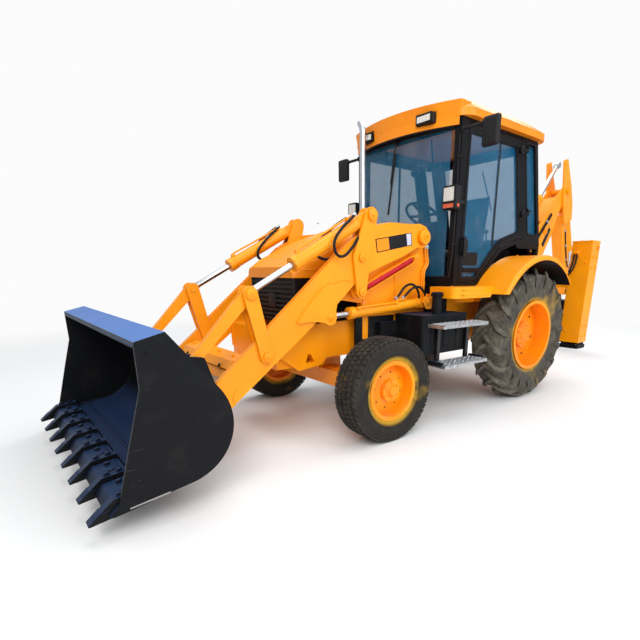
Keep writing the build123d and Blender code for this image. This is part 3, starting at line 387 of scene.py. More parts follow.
def blackLook(name, rough, dirt, sky=0.0, crown=None):
    # black enamel with rubbed places, dust and dried splashes; faces that look up get a painted blue sky
    # reflection
    look = Look(name, IOR=1.5, Coat_Roughness=0.15, Specular_IOR_Level=0.10)
    patch = look.noise(5.0, 6, 0.62)
    scratch = look.noise(7, 3, 0.6, (1, 9, 14)).step(0.68, 0.74)
    fleck = look.cells(26).step(0.07, 0.03) * look.noise(2.3, 2).step(0.55, 0.7)
    up = look.facing(2).step(0.45, 0.95)
    dusty = patch.step(0.52, 0.8) * dirt
    # painted sky reflection: a share of blue on the faces that look up
    paintedSkyShare = up * sky
    if crown:
        # the top plate, between these heights, gets most of the painted sky reflection
        paintedSkyShare = up * (sky + look.axis(2).step(*crown) * (0.85 - sky))
    tone = look.mix(paintedSkyShare, tones["black"], tones["paintedSkyReflection"])
    tone = look.mix(dusty * 0.22, tone, tones["dullDust"])
    tone = look.mix(scratch * 0.10, tone, tones["scratch"])
    tone = look.mix(fleck * 0.7, tone, tones["driedMud"])
    look.set(Base_Color=tone, Roughness=rough + patch * 0.2 + dusty * 0.3, Coat_Weight=0.04)
    look.bump(look.noise(190, 2) * 0.6 + patch * 0.4, 0.12, 0.0015)
    return look


def metalLook(name, colour, rough, grain=0.0, brushed=None):
    # brushed stretches the noise into lines along one axis
    look = Look(name, Metallic=1.0)
    patch = look.noise(14, 4, 0.6)
    lines = look.noise(60, 2, 0.5, brushed) if brushed else patch
    look.set(Base_Color=look.mix(patch * 0.5, colour, tuple(c * 0.72 for c in colour)),
             Roughness=rough + lines * 0.14)
    look.bump(lines, 0.05 + grain, 0.0008)
    return look


def galvanisedLook(name, blackBetween=None):
    # hot-dip zinc: crystals of different greys, dull where boots rub; black and not metallic between the two
    # heights given, when they are
    look = Look(name, Metallic=0.85)
    crystal = look.cells(75, "Color")
    grey = look.add("ShaderNodeSeparateColor", None, [crystal], 0)
    worn = look.noise(11, 5, 0.6).step(0.45, 0.75)
    tone = look.mix(grey, tones["zincDark"], tones["zincPale"])
    tone = look.mix(worn * 0.4, tone, tones["zincWorn"])
    if blackBetween:
        low, high = blackBetween
        blackBand = look.axis(2).step(low, low + 0.004) * (1 - look.axis(2).step(high - 0.004, high))
        tone = look.mix(blackBand, tone, tones["black"])
        look.set(Metallic=0.85 * (1 - blackBand))
    look.set(Base_Color=tone, Roughness=0.34 + worn * 0.25)
    look.bump(grey + look.noise(120, 2), 0.12, 0.001)
    return look


def tyreLook(name, rubber, dust, amount, rimRadius, spray):
    # rubber whose dust lies on the tread; paint was sprayed past the rim onto the wall
    look = Look(name, IOR=1.45, Specular_IOR_Level=0.25)
    reach = look.own("reach")
    tread = look.own("tread")
    patch = look.noise(9, 6, 0.65)
    fine = look.noise(70, 4, 0.6)
    dusty = (patch * 0.7 + fine * 0.5).step(0.38, 0.82) * (amount * (0.45 + tread * 0.55))
    tone = look.mix(dusty, rubber, dust)
    ring = (1 - reach.step(rimRadius, rimRadius + 0.045)) * look.noise(5, 4, 0.6).step(0.30, 0.55)
    drift = (1 - reach.step(rimRadius + 0.02, rimRadius + 0.34)) * look.noise(2.2, 3, 0.6).step(0.56, 0.70)
    tone = look.mix(ring * spray + drift * spray * 0.55, tone, tones["overspray"])
    wear = look.noise(32, 4, 0.6).step(0.45, 0.75)
    look.set(Base_Color=tone, Roughness=0.78 + fine * 0.16)
    look.bump(wear * 0.6 + fine * 0.5, 0.35, 0.0025)
    return look


def glassLook(name, tint, density):
    # tinted safety glass with a slight film of dust
    look = Look(name, Roughness=0.03, IOR=1.45, Specular_IOR_Level=0.6)
    film = look.noise(3.5, 5, 0.6).step(0.45, 0.85)
    look.set(Base_Color=look.mix(film * 0.25, tint, tones["glassFilm"]), Alpha=density + film * 0.05)
    return look


def plasticLook(name, colour, rough=0.5, grain=260):
    look = Look(name, IOR=1.46, Specular_IOR_Level=0.22)
    patch = look.noise(8, 4, 0.6)
    look.set(Base_Color=look.mix(patch.step(0.4, 0.8) * 0.3, colour, tuple(c * 1.7 + 0.003 for c in colour)),
             Roughness=rough + patch * 0.15)
    look.bump(look.noise(grain, 2, 0.6), 0.18, 0.001)
    return look


def clothLook(name, colour):
    # woven seat cloth: two crossing sets of threads
    look = Look(name, Sheen_Weight=0.25, Sheen_Roughness=0.5)
    pitch = 700
    weave = (look.axis(0) * pitch).sine() * (look.axis(1) * pitch).sine()
    patch = look.noise(9, 4, 0.6)
    pale = tuple(c * 2.2 for c in colour)
    look.set(Base_Color=look.mix(patch * 0.6 + weave * 0.2, colour, pale), Roughness=0.9)
    look.bump(weave + look.noise(300, 2), 0.3, 0.0008)
    return look


def lensLook(name, colour, glow, ribAxis, ribPitch=420):
    # a moulded lens, ribbed across one axis
    look = Look(name, Roughness=0.12, IOR=1.5)
    wave = (look.axis(ribAxis) * ribPitch).sine()
    shade = wave.step(-0.6, 1) * 0.3 + look.noise(20, 3) * 0.2
    look.set(Base_Color=look.mix(shade, colour, tuple(c * 0.62 for c in colour)), Coat_Weight=0.6)
    look.bump(wave, 0.45, 0.0015)
    if glow:
        look.set(Emission_Color=colour, Emission_Strength=glow)
    return look


looks = {
    "paint": paintLook("loader paint", tones["orange"], (0.90, 0.290, 0.001)),
    "paintRoof": paintLook("roof paint", (0.90, 0.285, 0.003), tones["orangeDeep"], 0.34, 0.08),
    "rim": paintLook("rim paint", (0.96, 0.300, 0.002), (0.86, 0.225, 0.001), 0.36, 0.06, 0.3),
    "bucket": blackLook("bucket black", 0.30, 0.18, 0.16, (0.98, 1.05)),
    "frameBlack": blackLook("chassis black", 0.38, 0.35, 0.10),
    "cabBlack": blackLook("cab black", 0.26, 0.08),
    "chrome": metalLook("hard chrome", (0.62, 0.63, 0.64), 0.12, 0.0, (1, 12, 12)),
    "steel": metalLook("bare steel", (0.42, 0.41, 0.39), 0.34, 0.10),
    "stainless": metalLook("exhaust steel", (0.72, 0.74, 0.76), 0.24, 0.05, (14, 14, 1)),
    "zinc": galvanisedLook("galvanised steel"),
    "stepZinc": galvanisedLook("galvanised steps", (0.580, 0.903)),
    "red": paintLook("strut red", (0.50, 0.001, 0.010), (0.38, 0.001, 0.008), 0.36, 0.04, 0.02),
    "glass": glassLook("tinted glass", (0.014, 0.155, 0.31), 0.35),
    "mirror": metalLook("mirror glass", (0.80, 0.84, 0.88), 0.04),
    # painted shade: a near-black finish for the insides of holes, slots and the exhaust's mouth
    "paintedHoleShade": plasticLook("painted hole shade", (0.004, 0.004, 0.004), 0.9, 90),
    "plastic": plasticLook("black plastic", (0.012, 0.012, 0.013), 0.46),
    "interior": plasticLook("cab lining", (0.028, 0.030, 0.032), 0.62, 160),
    "rubber": plasticLook("black rubber", (0.010, 0.010, 0.011), 0.55, 420),
    "cloth": clothLook("seat cloth", (0.030, 0.032, 0.036)),
    "lampWhite": lensLook("clear lens", (0.74, 0.73, 0.68), 0.0, 1),
    "lampAmber": lensLook("indicator lens", (0.62, 0.085, 0.008), 0.05, 2),
    "lampRed": lensLook("tail lens", (0.55, 0.010, 0.008), 0.05, 2),
    "frontTyre": tyreLook("front tyre rubber", (0.016, 0.0155, 0.015), (0.10, 0.085, 0.065), 0.45,
                          0.262, 0.75),
    "rearTyre": tyreLook("rear tyre rubber", (0.030, 0.028, 0.025), (0.22, 0.195, 0.150), 0.95, 0.386, 0.7),
    "plateBlack": plasticLook("blank plate", (0.008, 0.008, 0.010), 0.30, 300),
    "plateLilac": plasticLook("plate end", (0.52, 0.53, 0.72), 0.35, 300),
}
print("finishes made")

cadFinishes = {
    "paint": ("chassis axles knuckle_left knuckle_right bonnet loader_arms rear_levers front_levers tipping_links "
              "levelling_links tilt_barrels lift_barrels lever_pins link_pins bucket_pins fenders_and_sills "
              "rear_frame shift_carriage kingpost boom boom_barrel dipper dipper_barrel crowd_barrel bucket_lever "
              "bucket_link"),
    "paintRoof": "cab_roof",
    "rim": "front_rim_left front_rim_right rear_rim_left rear_rim_right",
    "bucket": "loader_bucket backhoe_bucket",
    "frameBlack": "side_tanks engine grille stabiliser_left stabiliser_right",
    "cabBlack": "cab_frame door_left door_right",
    "chrome": "tilt_rods lift_rods boom_rod dipper_rod crowd_rod",
    "stainless": "exhaust_stack",
    "stepZinc": "steps",
    "red": "safety_strut",
    "glass": "cab_glass door_glass_left door_glass_right",
    "plastic": "mirrors_and_lamps",
    "interior": "consoles",
    "cloth": "seat_pads",
    "rubber": "front_tyre_left front_tyre_right rear_tyre_left rear_tyre_right",
}
for finish, names in cadFinishes.items():
    for name in names.split():
        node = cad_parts[name]
        node.data.materials.clear()
        node.data.materials.append(looks[finish].material)
print("CAD nodes finished")

# wheels
frontTyre = {
    "radius": 0.4395, "carcass": 0.427, "half": 0.132, "seat": 0.233, "wall": 0.352, "steps": 96,
    "ribs": [(-0.112, 0.030, 52), (-0.060, 0.036, 60), (0.0, 0.040, 60), (0.060, 0.036, 60),
             (0.112, 0.030, 52)],  # each row's place across the tread, width and blocks
    "gap": 0.007, "root": 0.012, "round": 0.0022, "skew": 12, "stagger": 0.37, "shoulderFall": 0.006,
    "mouldRings": (0.300, 0.372), "mouldHalf": 0.003, "mouldProud": 0.0015,
}
rearTyre = {
    "radius": 0.714, "carcass": 0.660, "half": 0.190, "seat": 0.357, "wall": 0.572, "steps": 76,
    "lugs": 19, "lugWidth": 0.058, "sweep": 17, "cuts": 9, "round": 0.007, "crownFall": 0.010,
    "lug": [(-0.035, 0.020, 0.055), (0.040, 0.020, 0.074), (0.100, 0.022, 0.074), (0.150, 0.030, 0.076),
            (0.184, 0.048, 0.072), (0.203, 0.082, 0.056), (0.202, 0.115, 0.036),
            (0.186, 0.150, 0.012)],  # across the tread, foot below the carcass, height
    "leanFrom": 0.120, "leanOver": 0.090, "shoulder": 0.030,
}


def carcassProfile(shape):
    # the tyre's section from one bead over the tread to the other
    half, seat, crown, wall = shape["half"], shape["seat"], shape["carcass"], shape["wall"]
    side = [(0.70, seat), (0.78, seat + 0.012), (0.84, seat + 0.030), (0.93, seat + (wall - seat) * 0.45),
            (0.99, wall - 0.012), (1.0, wall + 0.018), (0.985, wall + (crown - wall) * 0.50),
            (0.93, wall + (crown - wall) * 0.80), (0.80, crown - 0.008), (0.55, crown - 0.003), (0.25, crown)]
    left = [(-share * half, radius) for share, radius in side]
    return left + [(-shift, radius) for shift, radius in reversed(left)]


def wheelPiece(bm, side, axle, kind, finish, carcass):
    # each point knows how far it is from the axle and how near the tread, which its rubber's look reads
    centre = middleOf(f"{axle}_rim_{side}")
    depth, fade = 0.035, 0.030
    piece = finishPiece(bm, f"{kind}_{axle}_tyre_{side}", f"{axle}_wheel_{side}", finish, sharp=40)
    far = [math.hypot(v.co.x - centre.x, v.co.z - centre.z) for v in piece.data.vertices]
    near = [min(max((radius - carcass + depth) / fade, 0.0), 1.0) for radius in far]
    for name, values in (("reach", far), ("tread", near)):
        piece.data.attributes.new(name, "FLOAT", "POINT").data.foreach_set("value", values)
    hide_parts(f"{axle}_tyre_{side}")


def buildFrontTyre(side, shape):
    centre = middleOf(f"front_rim_{side}")
    bm = bmesh.new()
    latheIn(bm, carcassProfile(shape), centre, shape["steps"])
    outermost = shape["ribs"][-1][0]
    for row, (shift, width, count) in enumerate(shape["ribs"]):
        # one block of the row, then a copy of it for each step around the wheel
        block = bmesh.new()
        length = 2 * math.pi * shape["radius"] / count - shape["gap"]
        top = shape["radius"] - shape["shoulderFall"] * (shift / outermost) ** 2
        boxIn(block, (-length / 2, shift - width / 2, shape["carcass"] - shape["root"]),
              (length / 2, shift + width / 2, top), shape["round"], 1)
        skew = Matrix.Rotation(math.radians(shape["skew"] * (-1) ** row), 4, "Z")
        bmesh.ops.transform(block, matrix=skew, verts=block.verts)
        repeatIn(bm, block, aroundAxle(centre, count, row * shape["stagger"]))
    thin = shape["mouldHalf"]
    for outward in (-1, 1):
        # fine mould rings on both walls
        foot, proud = outward * shape["half"] * 0.955, outward * (shape["half"] + shape["mouldProud"])
        for radius in shape["mouldRings"]:
            latheIn(bm, [(foot, radius - thin), (proud, radius), (foot, radius + thin)], centre,
                    shape["steps"])
    wheelPiece(bm, side, "front", "treaded", "frontTyre", shape["carcass"])


def lugPattern(shape, outward):
    # one bar of the chevron: out from the middle, sweeping forward, then down over the shoulder
    bm = bmesh.new()
    boxIn(bm, (-0.5, 0, 0), (0.5, 1, 1))
    length = [edge for edge in bm.edges if abs((edge.verts[0].co - edge.verts[1].co).y) > 0.5]
    bmesh.ops.subdivide_edges(bm, edges=length, cuts=shape["cuts"], use_grid_fill=True)
    half, crown = shape["half"], shape["carcass"]
    path = [(shift, crown - drop, tall) for shift, drop, tall in shape["lug"]]
    for vert in bm.verts:
        # the unit box's y runs along the bar's path, its z from foot to top and its x across
        place = vert.co.y * (len(path) - 1)
        step = min(int(place), len(path) - 2)
        shift, low, tall = [a + (b - a) * (place - step) for a, b in zip(path[step], path[step + 1])]
        over = low < crown - shape["shoulder"]
        lean = min(max((shift - shape["leanFrom"]) / shape["leanOver"], 0.0), 1.0) if over else 0.0
        wide = shape["lugWidth"] * (1.12 - 0.25 * vert.co.z) * (0.92 + 0.25 * vert.co.y)
        angle = math.radians(shape["sweep"]) * (max(shift, 0) / half) ** 0.9
        angle += vert.co.x * wide / shape["radius"]
        radius = low + vert.co.z * tall * (1 - 0.55 * lean)
        radius = min(radius, shape["radius"] - shape["crownFall"] * (shift / half) ** 2)
        across = outward * (shift + vert.co.z * 0.006 * lean)
        vert.co = Vector((radius * math.sin(angle), across, radius * math.cos(angle)))
    if outward < 0:
        bmesh.ops.reverse_faces(bm, faces=bm.faces)
    bmesh.ops.recalc_face_normals(bm, faces=bm.faces)
    roundEdges(bm, [edge for edge in bm.edges if edge.calc_face_angle(0) > 0.6], shape["round"])
    return bm


def buildRearTyre(side, shape):
    centre = middleOf(f"rear_rim_{side}")
    bm = bmesh.new()
    latheIn(bm, carcassProfile(shape), centre, shape["steps"])
    for outward, start in ((1, 0.5), (-1, 0.0)):
        repeatIn(bm, lugPattern(shape, outward), aroundAxle(centre, shape["lugs"], start))
    wheelPiece(bm, side, "rear", "lugged", "rearTyre", shape["carcass"])


def buildHub(side, axle, shape):
    # cap, nuts and the dish's hand holes, seen in the wheel's outer face; the hand holes are dark discs painted as
    # the shade inside them
    centre = middleOf(f"{axle}_rim_{side}")
    out = hands[side]
    face, cap, tall = shape["face"], shape["cap"], shape["tall"]
    outline = [(face - 0.01, 0), (face - 0.01, cap * 1.25), (face, cap * 1.25), (face + 0.006, cap * 1.12),
               (face + 0.010, cap), (face + tall * 0.8, cap * 0.96), (face + tall, cap * 0.84),
               (face + tall + 0.004, 0)]
    bm = bmesh.new()
    latheIn(bm, [(out * shift, radius) for shift, radius in outline], centre, 48)
    nutFace = centre + Vector((0, out * shape["nutFace"], 0))
    for spot in ringSpots(nutFace, shape["nutRing"], shape["nuts"], math.pi / shape["nuts"]):
        boltIn(bm, spot, (0, out, 0), shape["nutSize"])
    finishPiece(bm, f"{axle}_hub_{side}", f"{axle}_wheel_{side}", "rim")
    holes = bmesh.new()
    holeFace = centre + Vector((0, out * shape["holeFace"], 0))
    for spot in ringSpots(holeFace, shape["holeRing"], shape["holes"], 0.2):
        sunk, proud = spot - Vector((0, out * 0.004, 0)), spot + Vector((0, out * 0.0015, 0))
        barIn(holes, sunk, proud, shape["holeSize"], sides=28)
    valve = holeFace + Vector((shape["valve"], 0, 0))
    barIn(holes, valve, valve + Vector((0, out * 0.035, 0)), 0.005, sides=10)
    finishPiece(holes, f"{axle}_rim_holes_{side}", f"{axle}_wheel_{side}", "rubber")


hubShapes = {
    "front": {"face": 0.085, "cap": 0.044, "tall": 0.030,
              "nuts": 6, "nutRing": 0.076, "nutFace": 0.085, "nutSize": 0.0085,
              "holes": 8, "holeRing": 0.150, "holeFace": 0.040, "holeSize": 0.0065, "valve": 0.190},
    "rear": {"face": 0.065, "cap": 0.062, "tall": 0.018,
             "nuts": 10, "nutRing": 0.112, "nutFace": 0.065, "nutSize": 0.0105,
             "holes": 6, "holeRing": 0.235, "holeFace": 0.016, "holeSize": 0.020, "valve": 0.300},
}
for side in hands:
    buildFrontTyre(side, frontTyre)
    buildRearTyre(side, rearTyre)
    for axle, shape in hubShapes.items():
        buildHub(side, axle, shape)
print("wheels built")

# loader bucket
bucketTrim = {
    "half": 1.160, "teeth": 8, "margin": 0.060, "toothHalf": 0.032, "gap": 0.004, "wall": 0.0175,
    "plate": [(4.348, 0.149), (4.300, 0.200), (4.170, 0.221), (4.165, 0.205), (4.285, 0.184), (4.338, 0.141)],
    "plateBolt": (4.222, 0.2125), "plateBoltIn": 0.055, "plateBoltSize": 0.017,
    "tip": [(4.4355, 0.1145), (4.4355, 0.121), (4.372, 0.176), (4.330, 0.176), (4.350, 0.142)],
    "toothBolts": ((4.195, 0.2445), (4.265, 0.2365)), "toothBoltSize": 0.0155,
    "floor": [(4.240, 0.188), (3.905, 0.227)], "back": [(3.697, 0.734), (3.948, 1.062)],
    "bend": (3.950, 0.541, 0.319),  # the floor's bend into the back: middle and radius
    "floorSeam": (4.055, 0.211), "lip": [(3.965, 1.046), (4.098, 1.012), (4.100, 1.024), (3.967, 1.058)],
    "wear": (4.020, 4.235, 0.162, 0.009), "wearTilt": 7.5, "hole": (4.045, 0.985), "holeRadius": 0.012,
}


def cuttingEdge(trim):
    # bolted plates between the teeth, and on each tooth its bolts and a worn, thin tip over its nose
    half, gap = trim["half"], trim["gap"]
    pitch = (2 * half - 2 * trim["margin"]) / (trim["teeth"] - 1)
    plates, bolts = bmesh.new(), bmesh.new()
    for n in range(trim["teeth"]):
        tooth = -half + trim["margin"] + n * pitch
        if n < trim["teeth"] - 1:
            y0 = tooth + trim["toothHalf"] + gap
            y1 = y0 + pitch - 2 * trim["toothHalf"] - 2 * gap
            plateIn(plates, trim["plate"], y0, y1, 0.002)
            x, z = trim["plateBolt"]
            for y in (y0 + trim["plateBoltIn"], y1 - trim["plateBoltIn"]):
                boltIn(bolts, at(x, y, z), (0.16, 0, 1), trim["plateBoltSize"])
        for x, z in trim["toothBolts"]:
            boltIn(bolts, at(x, tooth, z), (0.12, 0, 1), trim["toothBoltSize"])
        plateIn(plates, trim["tip"], tooth - trim["toothHalf"] - gap, tooth + trim["toothHalf"] + gap, 0.0015)
    finishPiece(plates, "cutting_edge_plates", "loader_bucket", "bucket")
    finishPiece(bolts, "cutting_edge_bolts", "loader_bucket", "bucket")


def bucketSeams(trim):
    # inner seam across the floor, the corner welds and the folded lip's stiffener
    inner = trim["half"] - trim["wall"]
    cx, cz, radius = trim["bend"]
    turns = [math.radians(262 - n * 10.3) for n in range(9)]
    bend = [(cx + radius * math.cos(turn), cz + radius * math.sin(turn)) for turn in turns]
    bm = bmesh.new()
    x, z = trim["floorSeam"]
    barIn(bm, at(x, -inner, z), at(x, inner, z), 0.007, sides=10)
    plateIn(bm, trim["lip"], -inner, inner, 0.002)
    for side in (1, -1):
        barsAlong(bm, [at(x, side * inner, z) for x, z in trim["floor"] + bend + trim["back"]], 0.006, 8)
    finishPiece(bm, "bucket_seams", "loader_bucket", "bucket")


def bucketSides(trim):
    # rubbed strips low on the side plates and the small lashing holes, seen on both faces as dark discs painted as
    # the shade inside them
    worn, holes = bmesh.new(), bmesh.new()
    x0, x1, foot, tall = trim["wear"]
    tilt = (Matrix.Translation(at(x1, 0, foot)) @ Matrix.Rotation(math.radians(trim["wearTilt"]), 4, "Y")
            @ Matrix.Translation(-at(x1, 0, 0.0)))
    x, z = trim["hole"]
    for side in (1, -1):
        y = side * trim["half"]
        boxAt(worn, x0, x1, y - side * 0.001, y + side * 0.0006, 0.0, tall, turn=tilt)
        for face, sunk, proud in ((y, 0.012, 0.0006), (side * (trim["half"] - 0.0165), 0.0008, 0.003)):
            barIn(holes, at(x, face - side * sunk, z), at(x, face + side * proud, z), trim["holeRadius"])
    finishPiece(worn, "bucket_wear_strips", "loader_bucket", "steel")
    finishPiece(holes, "bucket_side_holes", "loader_bucket", "paintedHoleShade")


cuttingEdge(bucketTrim)
bucketSeams(bucketTrim)
bucketSides(bucketTrim)
print("loader bucket trimmed")

# loader arms and their levers
armPins = {
    "rearTop": (2.045, 1.830), "rearMid": (2.150, 1.496), "rearLow": (2.150, 1.220),
    "frontTop": (3.175, 1.233), "frontLow": (3.076, 0.770), "pivot": (1.400, 1.690),
    "bucket": (3.500, 0.430), "liftRear": (1.310, 1.105), "liftFront": (2.480, 1.030),
    "linkRear": (1.460, 1.515),
}


pinEnds = [  # piece, body, pin, distance out, radius, height
    ("pin_ends_rearTop", "rear_levers", "rearTop", 0.622, 0.046, 0.012),
    ("pin_ends_rearLow", "rear_levers", "rearLow", 0.618, 0.036, 0.010),
    ("pin_ends_rearMid", "loader_arms", "rearMid", 0.618, 0.036, 0.010),
    ("pin_ends_frontLow", "loader_arms", "frontLow", 0.618, 0.034, 0.010),
    ("pin_ends_frontTop", "link_pins", "frontTop", 0.624, 0.036, 0.008),
    ("lift_pin_ends", "loader_arms", "liftFront", 0.607, 0.034, 0.008),
    ("lift_rear_pin_ends", "machine", "liftRear", 0.615, 0.032, 0.008),
    ("bucket_pin_ends", "bucket_pins", "bucket", 0.620, 0.040, 0.008),
    ("levelling_link_pin_ends", "levelling_links", "linkRear", 0.584, 0.034, 0.008),
]
pivotCap = [(-0.02, 0.0), (-0.02, 0.064), (0.010, 0.064), (0.016, 0.058), (0.016, 0.030), (0.024, 0.028),
            (0.024, 0.013), (0.010, 0.012), (0.010, 0.0)]


def buildPinEnds():
    for name, body, pin, reach, radius, height in pinEnds:
        bm = bmesh.new()
        x, z = armPins[pin]
        bossIn(bm, at(x, reach, z), 1, radius, height)
        finishBoth(bm, name, body, "paint")
    bm = bmesh.new()
    x, z = armPins["pivot"]
    latheIn(bm, pivotCap, at(x, 0.618, z), 48)
    finishBoth(bm, "arm_pivot_ends", "machine", "paint")


armTrim = {
    "outer": 0.585, "beadRadius": 0.0055, "edgeRadius": 0.0045, "edgeFaces": (0.5365, 0.5835),
    "beads": [[(2.400, 1.300), (2.470, 1.296), (2.560, 1.250), (2.650, 1.165), (2.730, 1.085), (2.800, 0.998),
               (2.716, 1.006), (2.640, 1.018)],
              [(2.985, 0.800), (3.050, 0.702), (3.160, 0.640), (3.200, 0.610)],
              [(3.330, 0.560), (3.380, 0.500), (3.350, 0.455)],
              [(2.250, 1.300), (2.290, 1.340), (2.420, 1.300)]],
    "edge": [(2.265, 1.618), (2.66, 1.290), (3.040, 0.976)],
    "boss": (2.583, 1.137), "bossHalf": (0.088, 0.034), "bossLean": 38,
    "rim": [(2.020, 1.700), (1.500, 1.782), (1.462, 1.775), (1.470, 1.768), (1.502, 1.772), (2.016, 1.690)],
}


def armDetails(trim):
    # the oval boss, the rear plate's raised rim, weld beads and the folded edges' welds, on both arms
    outer = trim["outer"]
    bm = bmesh.new()
    foot, crown = 0.034, 0.031
    made = bmesh.ops.create_cone(bm, cap_ends=True, segments=40, radius1=foot, radius2=crown,
                                 depth=0.008)["verts"]
    long, short = trim["bossHalf"]
    bmesh.ops.scale(bm, vec=(long / foot, short / foot, 1), verts=made)
    x, z = trim["boss"]
    place = (Matrix.Translation(at(x, outer + 0.0035, z))
             @ Matrix.Rotation(math.radians(trim["bossLean"]), 4, "Y")
             @ Matrix.Rotation(math.radians(-90), 4, "X"))
    bmesh.ops.transform(bm, matrix=place, verts=made)
    plateIn(bm, trim["rim"], outer - 0.001, outer + 0.003)
    finishBoth(bm, "arm_bosses", "loader_arms", "paint")
    beads = [[at(x, outer + 0.001, z) for x, z in bead] for bead in trim["beads"]]
    linesOf("arm_weld_beads", "loader_arms", "paint", trim["beadRadius"], bothSides(beads))
    edges = [[at(x, y, z) for x, z in trim["edge"]] for y in trim["edgeFaces"]]
    linesOf("arm_edge_welds", "loader_arms", "paint", trim["edgeRadius"], bothSides(edges), 2)


armPlates = {
    "corners": [(1.983, 1.650), (1.552, 1.724), (1.534, 1.618), (1.965, 1.540)],
    "fields": [  # name, from and to along the plate, margin, height, finish
        ("dark", 0.0, 1.0, 0.0, 0.0018, "plateBlack"),
        ("orange", 0.022, 0.345, 0.065, 0.0034, "paintRoof"),
        ("pale", 0.855, 0.978, 0.055, 0.0034, "plateLilac"),
    ],
}


def between(first, last, share):
    return [a + (b - a) * share for a, b in zip(first, last)]


def blankPlates(shape):
    # blank label plates on both arms: dark field, orange end and pale end, no lettering
    corners = shape["corners"]
    outer = armTrim["outer"]
    for name, first, last, rim, tall, finish in shape["fields"]:
        outline = []
        for along, down in ((first, rim), (last, rim), (last, 1 - rim), (first, 1 - rim)):
            above, below = between(corners[0], corners[1], along), between(corners[3], corners[2], along)
            outline.append(between(above, below, down))
        bm = bmesh.new()
        plateIn(bm, outline, outer - 0.0005, outer + tall)
        finishBoth(bm, f"blank_plate_{name}", "loader_arms", finish)


panTrim = {
    "half": 0.505,
    "outline": [(3.118, 0.664), (3.200, 0.772), (3.300, 0.742), (3.340, 0.687), (3.346, 0.693),
                (3.306, 0.752),
                (3.198, 0.784), (3.110, 0.668)],
    "bolt": (3.250, 0.768), "boltPlaces": (-0.40, -0.13, 0.13, 0.40),
    "dish": (3.322, 0.722), "hole": (3.347, 0.705), "holePlaces": (-0.34, 0.34), "tilt": 0.94,
}


def crossPan(trim):
    # the folded pan on top of the cross beam, with its bolts and two dished holes; the holes are dark discs
    # painted as the shade inside them
    bm, holes = bmesh.new(), bmesh.new()
    plateIn(bm, trim["outline"], -trim["half"], trim["half"])
    x, z = trim["bolt"]
    for y in trim["boltPlaces"]:
        boltIn(bm, at(x, y, z), (0.28, 0, 1), 0.012)
    tilt = Matrix.Rotation(trim["tilt"], 4, "Y")
    for y in trim["holePlaces"]:
        for target, (x, z), segments, foot, crown, depth in ((bm, trim["dish"], 28, 0.050, 0.036, 0.012),
                                                             (holes, trim["hole"], 20, 0.016, 0.016, 0.004)):
            bmesh.ops.create_cone(target, cap_ends=True, segments=segments, radius1=foot, radius2=crown,
                                  depth=depth, matrix=Matrix.Translation(at(x, y, z)) @ tilt)
    finishPiece(bm, "cross_beam_pan", "loader_arms", "paint")
    finishPiece(holes, "cross_beam_holes", "loader_arms", "rubber")


def linePoint(start, end, distance, above, y):
    # a point on the side view's line, lifted from it
    run = Vector((end[0] - start[0], end[1] - start[1])).normalized()
    return at(start[0] + run.x * distance - run.y * above, y, start[1] + run.y * distance + run.x * above)


# rams of the loader: every spot is distance along the ram from its rear pin, height above it, and y
tiltTrim = {
    "pins": ("rearTop", "frontTop"), "y": 0.56, "tube": 0.0515, "collar": 0.056, "collars": (0.205, 0.500),
    "gland": [(0.786, 0.052), (0.790, 0.0595), (0.796, 0.064), (0.846, 0.064), (0.852, 0.060), (0.856, 0.046),
              (0.858, 0.0262)],
    "ports": [  # spot, half size, bevel
        ((0.215, 0.058, 0.56), (0.018, 0.018, 0.016), 0.004),
        ((0.765, 0.058, 0.56), (0.018, 0.018, 0.016), 0.004),
    ],
    "pipe": 0.0085,
    "pipes": [
        [(0.765, 0.062, 0.56), (0.765, 0.076, 0.56), (0.72, 0.077, 0.56), (0.45, 0.070, 0.56),
         (0.24, 0.070, 0.56), (0.20, 0.072, 0.56)],
        [(0.215, 0.062, 0.575), (0.205, 0.076, 0.590), (0.17, 0.074, 0.606)],
    ],
    "fitting": 0.0145,
    "fittings": [
        [(0.216, 0.072, 0.560), (0.184, 0.072, 0.560)],
        [(0.184, 0.074, 0.606), (0.152, 0.074, 0.606)],
    ],
    # two hoses a side loop forward beside the barrel and go back under it, to a bracket on its foot
    "hose": 0.0115,
    "hoses": [
        [(0.168, 0.074, 0.606), (0.222, 0.066, 0.622), (0.361, 0.050, 0.640), (0.485, 0.004, 0.650),
         (0.510, -0.095, 0.648), (0.440, -0.150, 0.640), (0.308, -0.125, 0.625), (0.214, -0.098, 0.600),
         (0.110, -0.070, 0.575), (0.060, -0.058, 0.562)],
        [(0.184, 0.072, 0.560), (0.25, 0.070, 0.530), (0.40, 0.050, 0.500), (0.560, 0.000, 0.486),
         (0.575, -0.080, 0.486), (0.480, -0.150, 0.500), (0.340, -0.155, 0.530), (0.200, -0.115, 0.552),
         (0.110, -0.076, 0.552), (0.070, -0.062, 0.546)],
    ],
}
